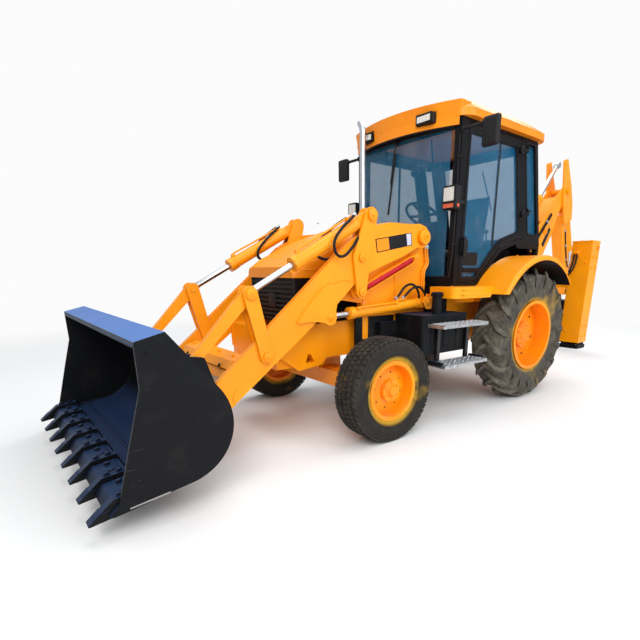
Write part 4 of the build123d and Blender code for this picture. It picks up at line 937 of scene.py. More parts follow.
liftTrim = {
    "pins": ("liftRear", "liftFront"), "y": 0.56, "tube": 0.0475, "collar": 0.053, "collars": (0.130,),
    "gland": [(0.895, 0.046), (0.900, 0.052), (0.950, 0.052), (0.957, 0.049), (0.960, 0.040),
              (0.962, 0.0262)],
    "ports": [
        ((0.420, 0.040, 0.604), (0.018, 0.012, 0.012), 0.004),
        ((0.870, 0.040, 0.604), (0.018, 0.012, 0.012), 0.004),
        ((0.330, 0.058, 0.583), (0.030, 0.012, 0.012), 0.003),
    ],
    "pipe": 0.0080,
    "pipes": [
        [(0.870, 0.036, 0.600), (0.868, 0.046, 0.612), (0.82, 0.046, 0.616), (0.62, 0.042, 0.610),
         (0.46, 0.042, 0.610), (0.41, 0.044, 0.606)],
        [(0.330, 0.058, 0.583), (0.36, 0.060, 0.594), (0.420, 0.052, 0.600)],
    ],
    "fitting": 0.0148,
    "fittings": [
        [(0.417, 0.071, 0.578), (0.387, 0.079, 0.578)],
        [(0.340, 0.071, 0.592), (0.310, 0.079, 0.592)],
    ],
    # two hoses arch from the barrel's top over to the frame behind, held at both ends on the barrel's foot
    "hose": 0.0115,
    "hoses": [
        [(0.405, 0.072, 0.578), (0.370, 0.085, 0.578), (0.295, 0.178, 0.590), (0.190, 0.190, 0.592),
         (0.115, 0.123, 0.588), (0.087, 0.050, 0.576), (0.083, 0.020, 0.566)],
        [(0.330, 0.072, 0.592), (0.295, 0.085, 0.592), (0.220, 0.150, 0.604), (0.115, 0.162, 0.606),
         (0.040, 0.095, 0.602), (0.012, 0.050, 0.590), (0.008, 0.020, 0.580)],
    ],
}


def buildRams(kind, trim):
    rear, front = (armPins[pin] for pin in trim["pins"])
    body = f"{kind}_barrels"

    def on(distance, above, y=trim["y"]):
        return linePoint(rear, front, distance, above, y)

    def runs(name):
        return [[on(*spot) for spot in line] for line in trim[name]]

    along = (on(1, 0) - on(0, 0)).normalized()
    half, edge = 0.012, 0.003                  # of the raised bands around the barrel
    bm = bmesh.new()
    latheIn(bm, trim["gland"], on(0, 0), 40, along)
    for place in trim["collars"]:
        inner, outer = trim["tube"], trim["collar"]
        band = [(place - half, inner), (place - half + edge, outer), (place + half - edge, outer),
                (place + half, inner)]
        latheIn(bm, band, on(0, 0), 40, along)
    for spot, size, bevel in trim["ports"]:
        blockIn(bm, on(*spot), size, bevel)
    finishBoth(bm, f"{kind}_ram_glands", body, "paint")
    linesOf(f"{kind}_ram_pipes", body, "paint", trim["pipe"], bothSides(runs("pipes")))
    bm = bmesh.new()
    for first, last in runs("fittings"):
        barIn(bm, first, last, trim["fitting"], sides=6, bevel=0.0015)
    finishBoth(bm, f"{kind}_ram_fittings", body, "zinc")
    linesOf(f"{kind}_ram_hoses", body, "rubber", trim["hose"], bothSides(runs("hoses")))


strutTrim = {
    "y": 0.574, "lift": 0.004, "caps": (0.075, 0.640),
    "sleeve": [(0.090, 0.0), (0.090, 0.0245), (0.094, 0.027), (0.190, 0.027), (0.192, 0.0295),
               (0.220, 0.0295),
               (0.222, 0.027), (0.486, 0.027), (0.488, 0.0295), (0.514, 0.0295), (0.516, 0.027),
               (0.632, 0.027),
               (0.636, 0.0245), (0.636, 0.0)],
}


def buildStrut(trim):
    # the red sleeve with its two straps, and a cap at each end
    rear, low = armPins["linkRear"], armPins["rearLow"]
    capY = 0.572
    run = (linePoint(rear, low, 1, 0, capY) - linePoint(rear, low, 0, 0, capY)).normalized()
    bm = bmesh.new()
    latheIn(bm, trim["sleeve"], linePoint(rear, low, 0, trim["lift"], trim["y"]), 40, run)
    finishPiece(bm, "strut_straps", "levelling_links", "red")
    bm = bmesh.new()
    for foot in trim["caps"]:
        latheIn(bm, [(foot, 0.0), (foot, 0.0235), (foot + 0.016, 0.0235), (foot + 0.018, 0.021),
                     (foot + 0.018, 0.0)],
                linePoint(rear, low, 0, 0, capY), 32, run)
    finishPiece(bm, "strut_caps", "levelling_links", "red")


towerTrim = {
    "face": 0.492, "boltSize": 0.011,
    "bolts": ((1.275, 1.35), (1.275, 1.50), (1.275, 0.93), (1.66, 0.86), (1.85, 0.84), (2.02, 0.86)),
    "blocks": [  # x, y and z from and to, bevel; the last two are folds
        (1.242, 1.330, 0.486, 0.500, 1.235, 1.300, 0.003),
        (1.985, 2.050, 0.490, 0.500, 0.800, 1.150, 0.004),
        (1.642, 1.660, 0.490, 0.502, 1.185, 1.505, 0.004),
    ],
    "pipeX": (1.272, 1.244), "pipe": 0.0085, "pipeTop": 1.600,
    "pipeRun": [(0.0, 0.512, 1.600), (0.0, 0.512, 1.550), (-0.018, 0.514, 1.500), (-0.018, 0.514, 1.452),
                (0.030, 0.514, 1.400), (0.034, 0.514, 1.340), (0.034, 0.514, 1.250)],
}


def buildTower(trim):
    # the tower's bolts, bracket, two upright folds and its bent pipes
    bm = bmesh.new()
    for x, z in trim["bolts"]:
        boltIn(bm, at(x, trim["face"], z), (0, 1, 0), trim["boltSize"])
    for block in trim["blocks"]:
        boxAt(bm, *block)
    finishBoth(bm, "tower_details", "machine", "paint")
    pipes = [[at(x + dx, y, z) for dx, y, z in trim["pipeRun"]] for x in trim["pipeX"]]
    linesOf("tower_pipes", "machine", "paint", trim["pipe"], bothSides(pipes))
    bm = bmesh.new()
    top = trim["pipeTop"]
    for x in trim["pipeX"]:
        barIn(bm, at(x, 0.512, top), at(x, 0.512, top + 0.034), 0.0135, sides=6, bevel=0.0015)
    finishBoth(bm, "tower_fittings", "machine", "zinc")


buildPinEnds()
armDetails(armTrim)
blankPlates(armPlates)
crossPan(panTrim)
buildRams("tilt", tiltTrim)
buildRams("lift", liftTrim)
buildStrut(strutTrim)
buildTower(towerTrim)
print("loader trimmed")

# cab
cabTrim = {
    "half": 0.720, "screenSide": 1.051, "bow": 0.090, "screenHalf": 0.655, "screenLow": 1.330,
    "screenTop": 2.630,
    "quarter": [(0.045, 2.660), (-0.150, 2.660), (-0.385, 1.790), (-0.165, 1.790)],
    "rearTop": (-0.215, 2.626), "rearLow": (-0.408, 1.764), "rearHalf": 0.565, "seal": 0.0095,
    "sealSteps": 12,
}


def bowAt(side, bow, half, y):
    # station of a panel that bows forward between its sides
    return side + bow * (1 - (y / half) ** 2)


def screenX(y):
    return bowAt(cabTrim["screenSide"], cabTrim["bow"], cabTrim["half"], y) + 0.008


def roundLoop(points, radius=0.03, steps=4):
    # a closed run in the side view with rounded corners
    run = []
    for n, corner in enumerate(points):
        before, after = Vector(points[n - 1]), Vector(points[(n + 1) % len(points)])
        corner = Vector(corner)
        a = corner + (before - corner).normalized() * radius
        b = corner + (after - corner).normalized() * radius
        for k in range(steps + 1):
            t = k / steps
            run.append(tuple(a * (1 - t) ** 2 + corner * 2 * t * (1 - t) + b * t ** 2))
    return run + run[:1]


def evenly(first, last, steps):
    return [first + (last - first) * step / steps for step in range(steps + 1)]


def buildSeals(trim):
    runs = []
    for side in (1, -1):
        y = side * (trim["half"] - 0.001)
        runs.append([at(x, y, z) for x, z in roundLoop(trim["quarter"], 0.035)])
    half, low, top = trim["screenHalf"] - 0.006, trim["screenLow"] + 0.008, trim["screenTop"] - 0.006
    screen = [at(screenX(y) + 0.006, y, top) for y in evenly(-half, half, trim["sealSteps"])]
    screen += [at(screenX(y) + 0.006, y, low) for y in evenly(half, -half, trim["sealSteps"])]
    runs.append(screen + screen[:1])
    (x0, z0), (x1, z1), half = trim["rearTop"], trim["rearLow"], trim["rearHalf"]
    runs.append([at(x0, -half, z0), at(x0, half, z0), at(x1, half, z1), at(x1, -half, z1), at(x0, -half, z0)])
    linesOf("cab_window_seals", "machine", "rubber", trim["seal"], runs, 2)


doorTrim = {
    "glass": [(0.955, 1.420), (0.945, 2.595), (0.190, 2.595), (0.010, 1.800), (0.075, 1.790), (0.365, 1.705),
              (0.500, 1.580), (0.655, 1.420)],
    "edge": [(0.987, 1.325), (0.952, 2.640), (0.130, 2.640), (-0.062, 1.760), (0.062, 1.752), (0.345, 1.668),
             (0.745, 1.318)],
    "glassRound": 0.040, "edgeRound": 0.036, "seal": 0.0080, "hinges": ((0.150, 2.570), (0.014, 1.985)),
    "hingeCap": [(-0.004, 0.0), (-0.004, 0.037), (0.006, 0.037), (0.010, 0.033), (0.010, 0.020),
                 (0.007, 0.018),
                 (0.007, 0.0)],
    "hingeFoot": [(0.0, 0.0), (0.0, 0.048), (0.006, 0.048), (0.009, 0.044), (0.009, 0.0)],
    "capOut": 0.042, "boltOut": 0.050,
    "boxes": [  # x from and to, distance out from the door, z, bevel
        (0.905, 0.998, -0.002, 0.016, 1.560, 1.680, 0.006),  # lock case
        (0.960, 0.998, 0.030, 0.041, 1.532, 1.708, 0.005),  # grab handle
        (0.440, 0.470, -0.030, -0.018, 1.640, 2.600, 0.003),  # the sliding pane's frame
    ],
    "button": (0.932, 1.640), "buttonRadius": 0.012,
}


def buildDoors(trim):
    # seals of the door and its glass, hinges, handle and lock
    for name, side in hands.items():
        y = side * (cabTrim["half"] - 0.0015)
        glass = [at(x, y - side * 0.012, z) for x, z in roundLoop(trim["glass"], trim["glassRound"])]
        edge = [at(x, y, z) for x, z in roundLoop(trim["edge"], trim["edgeRound"])]
        linesOf(f"door_seal_{name}", f"door_{name}", "rubber", trim["seal"], [glass, edge], 2)
        bm = bmesh.new()

        def beside(x, out, z):
            return at(x, side * (cabTrim["half"] + out), z)

        for x, z in trim["hinges"]:
            latheIn(bm, trim["hingeCap"], beside(x, trim["capOut"], z), 36, (0, side, 0))
            latheIn(bm, trim["hingeFoot"], beside(x, 0.001, z), 36, (0, side, 0))
            boltIn(bm, beside(x, trim["boltOut"], z), (0, side, 0), 0.009, False)
        for x0, x1, near, far, z0, z1, bevel in trim["boxes"]:
            boxAt(bm, x0, x1, side * (cabTrim["half"] + near), side * (cabTrim["half"] + far), z0, z1, bevel)
        x, z = trim["button"]
        barIn(bm, beside(x, 0.012, z), beside(x, 0.022, z), trim["buttonRadius"], sides=20, bevel=0.002)
        finishPiece(bm, f"door_fittings_{name}", f"door_{name}", "plastic")


doorPlate = {"from": (0.700, 1.452), "to": (0.935, 1.575), "y": 0.7025, "proud": 0.0017}


def buildDoorPlate(shape):
    # a bare dark plate low on the left door's glass, as on the arms
    (x0, z0), (x1, z1) = shape["from"], shape["to"]
    bm = bmesh.new()
    plateIn(bm, [(x0, z0), (x1, z0), (x1, z1), (x0, z1)], shape["y"], shape["y"] + shape["proud"])
    finishPiece(bm, "door_blank_plate", "door_left", "plateBlack")


wiperTrim = {
    "top": (-0.026, 2.600), "low": (-0.143, 1.965),  # y and z of the front wiper's ends
    "arm": (0.0, 0.085, 6), "blade": (0.12, 0.11, 8),  # start, length of a stretch, stretches
    "rearTop": (-0.200, 0.0, 2.610), "rearRun": (-0.20, 0.20, -0.85), "rearArm": (0.10, 0.10, 5),
}


def buildWipers(trim):
    (y0, z0), (y1, z1) = trim["top"], trim["low"]

    def on(share, out):
        y = y0 + (y1 - y0) * share
        return at(screenX(y) + out, y, z0 + (z1 - z0) * share)

    bm = bmesh.new()
    barIn(bm, on(0.0, 0.006), on(0.0, 0.040), 0.020, sides=24, bevel=0.003)
    start, length, count = trim["arm"]
    for n in range(count):
        barIn(bm, on(start + n * length, 0.034), on(start + (n + 1) * length, 0.032), 0.0065, 0.0060, sides=8)
    barIn(bm, on(0.500, 0.034), on(0.560, 0.020), 0.010, sides=10)
    start, length, count = trim["blade"]
    for n in range(count):
        for out, radius in ((0.013, 0.0085), (0.004, 0.0042)):  # the blade's spine and its lip
            barIn(bm, on(start + n * length, out), on(start + (n + 1) * length, out), radius, sides=6)
    finishPiece(bm, "front_wiper", "machine", "plastic")
    bm = bmesh.new()
    start, length, count = trim["rearArm"]
    shares = [start + n * length for n in range(count + 1)]
    spots = [[a + b * share for a, b in zip(trim["rearTop"], trim["rearRun"])] for share in shares]
    barsAlong(bm, [at(*spot) for spot in spots], 0.0075, 8)
    finishPiece(bm, "rear_wiper", "machine", "plastic")


lampTable = [  # x, y, z, way it looks, lens, half width and height, depth, rim, ribs
    (1.245, 0.400, 2.713, 1, "clear", 0.092, 0.037, 0.010, 0.011, 12),  # work lamps over the screen
    (1.190, 0.700, 2.062, 1, "clear", 0.069, 0.066, 0.012, 0.008, 9),  # head lamps
    (1.190, 0.700, 1.966, 1, "amber", 0.069, 0.026, 0.012, 0.007, 9),  # their indicators
    (-0.452, 0.640, 1.560, -1, "red", 0.045, 0.060, 0.020, 0.006, 5),  # tail lamps
    (-0.452, 0.640, 1.475, -1, "amber", 0.045, 0.026, 0.020, 0.006, 5),
    (-0.206, 0.430, 2.745, -1, "clear", 0.080, 0.036, 0.012, 0.010, 8),   # work lamps under the roof's rear
]
sideMarker = {"place": (1.150, 0.774, 1.968), "height": 0.007, "radius": 0.016}


def lampIn(frames, lenses, place, out, wide, tall, deep, rim, ribs):
    # a rectangular lamp: frame with rounded edges and a ribbed lens sunk a little into it
    x0, x1 = sorted((place.x, place.x + out * deep))
    y, z = place.y, place.z
    for a0, a1, b0, b1 in ((-wide, wide, tall - rim, tall), (-wide, wide, -tall, -tall + rim),
                           (-wide, -wide + rim, -tall + rim, tall - rim),
                           (wide - rim, wide, -tall + rim, tall - rim)):
        boxIn(frames, (x0, y + a0, z + b0), (x1, y + a1, z + b1), 0.0025, 1)
    lens0, lens1 = sorted((place.x + out * 0.001, place.x + out * (deep - 0.004)))
    pitch = 2 * (wide - rim) / ribs
    for n in range(ribs):
        y0 = y - wide + rim + n * pitch
        boxIn(lenses, (lens0, y0, z - tall + rim), (lens1, y0 + pitch * 0.94, z + tall - rim), 0.0018, 1)


def buildLamps():
    frames = bmesh.new()
    lenses = {lens: bmesh.new() for lens in ("clear", "amber", "red")}
    for side in (1, -1):
        for x, y, z, out, lens, *shape in lampTable:
            lampIn(frames, lenses[lens], at(x, side * y, z), out, *shape)
        x, y, z = sideMarker["place"]
        top = at(x, side * (y + sideMarker["height"]), z)
        barIn(lenses["amber"], at(x, side * y, z), top, sideMarker["radius"], bevel=0.002)
    finishPiece(frames, "lamp_frames", "machine", "plastic")
    finishPiece(lenses["clear"], "lamp_lenses", "machine", "lampWhite")
    finishPiece(lenses["amber"], "indicator_lenses", "machine", "lampAmber")
    finishPiece(lenses["red"], "tail_lenses", "machine", "lampRed")


mirrorTrim = {
    "in": 0.936, "out": 1.094, "z": (2.422, 2.628), "back": (1.085, 1.0965), "glass": (1.0385, 1.042),
    "sockets": ((0.716, 0.735, 0.026), (0.915, 0.938, 0.020)), "socketAt": (1.068, 2.600),
    "cabMirror": (0.845, 0.868, 0.110, 0.290, 2.370, 2.440),
    "cabGlass": (0.8435, 0.846, 0.118, 0.282, 2.377, 2.433),
    "stalk": ((0.866, 0.200, 2.430), (0.905, 0.200, 2.640)),
}


def buildMirrors(trim):
    # raised backs, glasses on the driver's side, the arms' sockets, and the mirror inside the cab
    housings, glasses = bmesh.new(), bmesh.new()
    low, high = trim["z"]
    x, z = trim["socketAt"]
    for side in (1, -1):
        near, far = side * trim["in"], side * trim["out"]
        boxAt(housings, *trim["back"], near + side * 0.012, far - side * 0.012, low + 0.002, high - 0.002,
              0.006, 3)
        boxAt(glasses, *trim["glass"], near + side * 0.010, far - side * 0.010, low, high, 0.001)
        for y0, y1, radius in trim["sockets"]:
            barIn(housings, at(x, side * y0, z), at(x, side * y1, z), radius, sides=20, bevel=0.003)
    boxAt(housings, *trim["cabMirror"], 0.008, 3)
    foot, top = trim["stalk"]
    barIn(housings, at(*foot), at(*top), 0.007, sides=10)
    boxAt(glasses, *trim["cabGlass"], 0.0008)
    finishPiece(housings, "mirror_backs", "machine", "plastic")
    finishPiece(glasses, "mirror_glasses", "machine", "mirror")


roofTrim = {
    "rail": 2.700, "top": 2.885,
    "ribs": [  # x, y, height from and to above the roof's top, bevel, segments
        (-0.12, 1.00, 0.786, 0.7915, -0.131, -0.121, 0.0015, 1),  # drip rail's joint
        (-0.10, 0.92, 0.380, 0.400, -0.001, 0.004, 0.0015, 1),  # long ribs
        (0.36, 0.368, 0.420, 0.600, -0.001, 0.002, 0.0, 2),  # cross ribs
    ],
    "visorSide": 1.110, "visorBow": 0.140, "visorHalf": 0.700, "stripHalf": 0.655, "stripSteps": 14,
    "stripRadius": 0.011, "lining": (1.020, 1.062, -0.600, 0.600),
}


def buildRoofTrim(trim):
    # the drip rail's joint and the roof's ribs, the strip under the visor and the black lining's edge
    bm = bmesh.new()
    for side in (1, -1):
        for x0, x1, y0, y1, z0, z1, bevel, segments in trim["ribs"]:
            boxAt(bm, x0, x1, side * y0, side * y1, trim["top"] + z0, trim["top"] + z1, bevel, segments)
    finishPiece(bm, "roof_ribs", "machine", "paintRoof")
    bm = bmesh.new()
    half, rail = trim["stripHalf"], trim["rail"]
    strip = [(bowAt(trim["visorSide"], trim["visorBow"], trim["visorHalf"], y), y)
             for y in evenly(-half, half, trim["stripSteps"])]
    barsAlong(bm, [at(x - 0.010, y, rail - 0.073) for x, y in strip], trim["stripRadius"], 8)
    boxAt(bm, *trim["lining"], rail - 0.075, rail - 0.012, 0.004)
    finishPiece(bm, "visor_strip", "machine", "rubber")


postHose = {
    "run": [(1.092, 0.705, 2.560), (1.100, 0.712, 2.300), (1.104, 0.716, 2.000), (1.112, 0.716, 1.700),
            (1.118, 0.712, 1.480), (1.122, 0.690, 1.330)],
    "radius": 0.0075, "clips": ((1.102, 2.380), (1.106, 2.060), (1.116, 1.640)),
}


def buildPostHose(shape):
    # washer hose down the left front post, held by clips
    linesOf("front_post_hose", "machine", "rubber", shape["radius"], [[at(*spot) for spot in shape["run"]]])
    bm = bmesh.new()
    for x, z in shape["clips"]:
        boxAt(bm, x - 0.020, x + 0.012, 0.700, 0.726, z - 0.008, z + 0.008, 0.002)
    finishPiece(bm, "hose_clips", "machine", "plastic")


buildSeals(cabTrim)
buildDoors(doorTrim)
buildDoorPlate(doorPlate)
buildWipers(wiperTrim)
buildLamps()
buildMirrors(mirrorTrim)
buildRoofTrim(roofTrim)
buildPostHose(postHose)
print("cab trimmed")

# bonnet, tanks, steps, fenders and exhaust
grilleTrim = {"slats": 9, "slatTilt": -12, "edge": 0.012, "post": 0.022, "square": 0.060}


def buildGrille(trim):
    # slanted slats behind a frame, with a bare square in the middle
    low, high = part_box("grille")
    front = high.x - rearAxleX
    base, top = low.z + trim["edge"], high.z - trim["edge"]
    pitch = (top - base) / trim["slats"]
    bm = bmesh.new()
    for n in range(trim["slats"]):
        z = base + (n + 0.5) * pitch
        tilt = turnAbout(math.radians(trim["slatTilt"]), "Y", at(front, 0, z))
        boxAt(bm, front - 0.012, front + 0.005, low.y + 0.020, high.y - 0.020, z - pitch * 0.33,
              z + pitch * 0.18,
              0.0035, 1, tilt)
    for y0, y1 in ((low.y, low.y + trim["post"]), (high.y - trim["post"], high.y)):
        boxAt(bm, front - 0.006, front + 0.008, y0, y1, low.z, high.z, 0.004)
    middle, square = (low.z + high.z) / 2, trim["square"]
    boxAt(bm, front - 0.006, front + 0.010, -square, square, middle - square, middle + square, 0.005)
    finishPiece(bm, "grille_slats", "machine", "plastic")


bonnetTrim = {
    "face": 0.3845, "crease": [(1.45, 1.440), (2.10, 1.425), (2.60, 1.395)], "creaseRadius": 0.0045,
    "bolts": ((1.40, -0.245), (1.40, 0.245)), "stud": (2.30, 0.20),
}


def buildBonnetTrim(trim):
    # pressed crease along both sides, two bolts at the rear and a stud on top
    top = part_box("bonnet")[1].z
    creases = [[at(x, side * trim["face"], z) for x, z in trim["crease"]] for side in (1, -1)]
    linesOf("bonnet_creases", "bonnet", "paint", trim["creaseRadius"], creases, 2)
    bm = bmesh.new()
    for x, y in trim["bolts"]:
        boltIn(bm, at(x, y, top - 0.003), (0, 0, 1), 0.010)
    x, y = trim["stud"]
    barIn(bm, at(x, y, top - 0.060), at(x, y, top - 0.050), 0.010, sides=16)
    finishPiece(bm, "bonnet_fastenings", "bonnet", "zinc")


tankTrim = {
    "from": (1.010, 0.650), "to": (1.655, 1.010), "face": 0.870, "folds": (1.160, 1.340, 1.520),
    "guard": (0.476, 0.494, 0.640, 1.000),
    "guardBolts": ((1.700, 0.960), (2.080, 0.960), (1.700, 0.680), (2.080, 0.680)),
    "cap": (1.400, 0.800, 1.180), "capRibs": 10, "capRadius": 0.0535,
    "capShape": [(-0.012, 0.0), (-0.012, 0.052), (0.020, 0.054), (0.028, 0.048), (0.030, 0.020),
                 (0.030, 0.0)],
    "neckBand": [(-0.130, 0.0455), (-0.130, 0.050), (-0.112, 0.050), (-0.112, 0.0455)],
}


def buildTankTrim(trim):
    # pressed folds in the tank's face, and the guard plate between tank and chassis with its folded flange
    (x0, z0), (x1, z1), face = trim["from"], trim["to"], trim["face"]
    bm = bmesh.new()
    for x in trim["folds"]:
        boxAt(bm, x - 0.028, x + 0.028, face - 0.004, face + 0.006, z0 + 0.050, z1 - 0.050, 0.005)
    boxAt(bm, x0 + 0.03, x1 - 0.03, face - 0.003, face + 0.004, z1 - 0.030, z1 - 0.020, 0.002)
    y0, y1, low, top = trim["guard"]
    boxAt(bm, 1.655, 2.130, y0, y1, low, top, 0.004)
    boxAt(bm, 2.115, 2.132, y0, y1 + 0.006, low, top, 0.004)
    for x, z in trim["guardBolts"]:
        boltIn(bm, at(x, y1 - 0.001, z), (0, 1, 0), 0.009)
    mirrored(bm)
    # filler cap on the left neck, with its ribs and the neck's band
    cap, up = at(*trim["cap"]), (0, 0, 1)
    latheIn(bm, trim["capShape"], cap, 40, up)
    for spot in ringSpots(cap, trim["capRadius"], trim["capRibs"], flat=True):
        barIn(bm, spot - Vector((0, 0, 0.010)), spot + Vector((0, 0, 0.018)), 0.006, sides=8)
    latheIn(bm, trim["neckBand"], cap, 32, up)
    finishPiece(bm, "tank_trim", "machine", "frameBlack")


stepTrim = {
    "steps": ((0.930, 1.590, 0.8703, 1.060, 0.935), (0.930, 1.570, 0.8703, 1.080, 0.578)),  # x, y, top
    "pitch": (0.034, 0.022), "toothHalf": (0.009, 0.003), "toothTall": 0.004, "edgeRadius": 0.011,
    "brackets": (0.950, 1.560), "hangers": (1.030, 1.460), "hangerBolts": (0.640, 0.740, 0.850),
}


def buildSteps(trim):
    # serrated treads on both steps: rows of raised teeth and a rolled front edge
    bm, tooth = bmesh.new(), bmesh.new()
    long, wide = trim["toothHalf"]
    boxIn(tooth, (-long, -wide, -0.001), (long, wide, trim["toothTall"]), 0.001, 1)
    alongPitch, acrossPitch = trim["pitch"]
    places = []
    for x0, x1, y0, y1, z in trim["steps"]:
        for i in range(int((x1 - x0 - 0.04) / alongPitch)):
            for j in range(int((y1 - y0 - 0.03) / acrossPitch)):
                lean = math.radians(45 if (i + j) % 2 else -45)
                spot = at(x0 + 0.036 + i * alongPitch, y0 + 0.024 + j * acrossPitch, z)
                places.append(Matrix.Translation(spot) @ Matrix.Rotation(lean, 4, "Z"))
        y, z = y1 - 0.004, z - 0.008
        barIn(bm, at(x0 + 0.012, y, z), at(x1 - 0.012, y, z), trim["edgeRadius"], sides=14)
    repeatIn(bm, tooth, places)
    finishBoth(bm, "step_treads", "machine", "zinc")
    bm = bmesh.new()
    for x in trim["brackets"]:
        boxAt(bm, x - 0.012, x + 0.012, 0.872, 1.040, 0.560, 0.600, 0.003)
    for x in trim["hangers"]:
        boxAt(bm, x - 0.024, x + 0.024, 0.8703, 0.884, 0.580, 0.905, 0.003)
        for z in trim["hangerBolts"]:
            boltIn(bm, at(x, 0.884, z), (0, 1, 0), 0.009)
    finishBoth(bm, "step_brackets", "machine", "frameBlack")


fenderTrim = {
    "middle": (0.050, 0.715), "radius": 0.842, "in": 0.7203, "out": 1.120, "arc": (41, 138), "arcSteps": 40,
    "edgeRadius": 0.0060, "edgeBelow": 0.044, "linerBelow": 0.043, "liner": 0.002,
    "crownBolts": (62, 90, 118), "crownBoltY": 0.760,
    "sillLines": (1.176, 1.226), "sillFace": (0.948, 0.953), "sillBolts": (0.86, 1.24),
}


def buildFenders(trim):
    # rolled outer edge, black underside, the bolts on the crown and the sill's moulded lines
    cx, cz = trim["middle"]
    turns = [math.radians(degrees) for degrees in evenly(*trim["arc"], trim["arcSteps"])]

    def arc(below):
        radius = trim["radius"] - below
        return [(cx + radius * math.cos(turn), cz + radius * math.sin(turn)) for turn in turns]

    runs = []
    under = bmesh.new()
    for side in (1, -1):
        runs.append([at(x, side * (trim["out"] - 0.006), z) for x, z in arc(trim["edgeBelow"])])
        verts = [[under.verts.new(at(x, side * y, z)) for y in (trim["in"] + 0.004, trim["out"] - 0.014)]
                 for x, z in arc(trim["linerBelow"])]
        faces = [under.faces.new((a[0], a[1], b[1], b[0])) for a, b in zip(verts, verts[1:])]
        bmesh.ops.solidify(under, geom=faces, thickness=trim["liner"])
    linesOf("fender_edges", "machine", "paint", trim["edgeRadius"], runs, 2)
    finishPiece(under, "fender_undersides", "machine", "frameBlack")
    bm = bmesh.new()
    for degrees in trim["crownBolts"]:
        angle = math.radians(degrees)
        out = Vector((math.cos(angle), 0, math.sin(angle)))
        boltIn(bm, at(cx, trim["crownBoltY"], cz) + out * (trim["radius"] - 0.001), out, 0.010)
    for z in trim["sillLines"]:
        for x in (1.19, 0.80):
            boxAt(bm, x, 1.24, *trim["sillFace"], z - 0.003, z + 0.003, 0.001, 1)
    for x in trim["sillBolts"]:
        boltIn(bm, at(x, 0.835, 1.251), (0, 0, 1), 0.009)
    finishBoth(bm, "sill_details", "machine", "paint")


stackTrim = {
    "place": (1.300, -0.390), "radius": 0.034, "clamps": (1.395, 1.880), "mouth": (-0.043, 2.846),
    "slotRows": 8, "slotsAround": 10, "slotFrom": 1.490, "slotPitch": 0.047,
}


def buildExhaust(trim):
    # two clamps and the heat guard between them, with rows of slots, and the mouth; slots and mouth are dark
    # shapes painted as the shade inside them
    x, y = trim["place"]
    radius = trim["radius"]
    foot, up = at(x, y, 0.0), (0, 0, 1)
    bm = bmesh.new()
    for z in trim["clamps"]:
        latheIn(bm, [(z - 0.012, radius - 0.001), (z - 0.012, radius + 0.005), (z + 0.012, radius + 0.005),
                     (z + 0.012, radius - 0.001)], foot, 40, up)
        boxIn(bm, foot + Vector((-0.012, -radius - 0.024, z - 0.011)),
              foot + Vector((0.012, -radius + 0.002, z + 0.011)), 0.002)
    latheIn(bm, [(1.420, radius + 0.001), (1.420, radius + 0.016), (1.450, radius + 0.018),
                 (1.860, radius + 0.018),
                 (1.872, radius + 0.001)], foot, 48, up)
    finishPiece(bm, "stack_clamps", "machine", "stainless")
    bm = bmesh.new()
    mouth = foot + Vector((0, *trim["mouth"]))
    inside, outside = mouth + Vector((0, 0.012, -0.010)), mouth + Vector((0, -0.0010, 0.0012))
    barIn(bm, inside, outside, radius - 0.0035, sides=32)
    finishPiece(bm, "stack_mouth", "machine", "paintedHoleShade")
    bm, slot = bmesh.new(), bmesh.new()
    boxIn(slot, (radius + 0.0165, -0.004, -0.016), (radius + 0.0190, 0.004, 0.016), 0.001, 1)
    places = []
    for row in range(trim["slotRows"]):
        middle = Matrix.Translation(foot + Vector((0, 0, trim["slotFrom"] + row * trim["slotPitch"])))
        for n in range(trim["slotsAround"]):
            turn = 2 * math.pi * (n + 0.5 * (row % 2)) / trim["slotsAround"]
            places.append(middle @ Matrix.Rotation(turn, 4, "Z"))
    repeatIn(bm, slot, places)
    finishPiece(bm, "stack_guard_slots", "machine", "paintedHoleShade")


chassisTrim = {
    "noseBolts": (-0.300, -0.100, 0.100, 0.300), "noseHeight": 0.665, "noseBoltSize": 0.014,
    "kingpin": (2.170, 0.745),
    "kingpinCap": [(-0.001, 0.0), (-0.001, 0.036), (0.010, 0.036), (0.013, 0.030), (0.013, 0.0)],
    "flange": (0, 0.560, 0.715), "flangeRadius": 0.105, "flangeBolts": 8,
}


def buildChassisTrim(trim):
    # bolts across the nose, a cap on each kingpin and the rear axle's flange bolts
    bm = bmesh.new()
    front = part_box("chassis")[1].x - rearAxleX
    for y in trim["noseBolts"]:
        boltIn(bm, at(front, y, trim["noseHeight"]), (1, 0, 0), trim["noseBoltSize"])
    finishPiece(bm, "nose_bolts", "machine", "paint")
    x, reach = trim["kingpin"]
    for name, side in hands.items():
        cap = bmesh.new()
        spot = at(x, side * reach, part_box(f"knuckle_{name}")[1].z)
        latheIn(cap, trim["kingpinCap"], spot, 32, (0, 0, 1))
        boltIn(cap, spot + Vector((0, 0, 0.012)), (0, 0, 1), 0.008, False)
        finishPiece(cap, f"kingpin_cap_{name}", f"knuckle_{name}", "paint")
    bm = bmesh.new()
    x, y, z = trim["flange"]
    for side in (1, -1):
        for spot in ringSpots(at(x, side * y, z), trim["flangeRadius"], trim["flangeBolts"]):
            boltIn(bm, spot, (0, side, 0), 0.010)
    finishPiece(bm, "rear_axle_bolts", "machine", "zinc")


buildGrille(grilleTrim)
buildBonnetTrim(bonnetTrim)
buildTankTrim(tankTrim)
buildSteps(stepTrim)
buildFenders(fenderTrim)
buildExhaust(stackTrim)
buildChassisTrim(chassisTrim)
print("body trimmed")

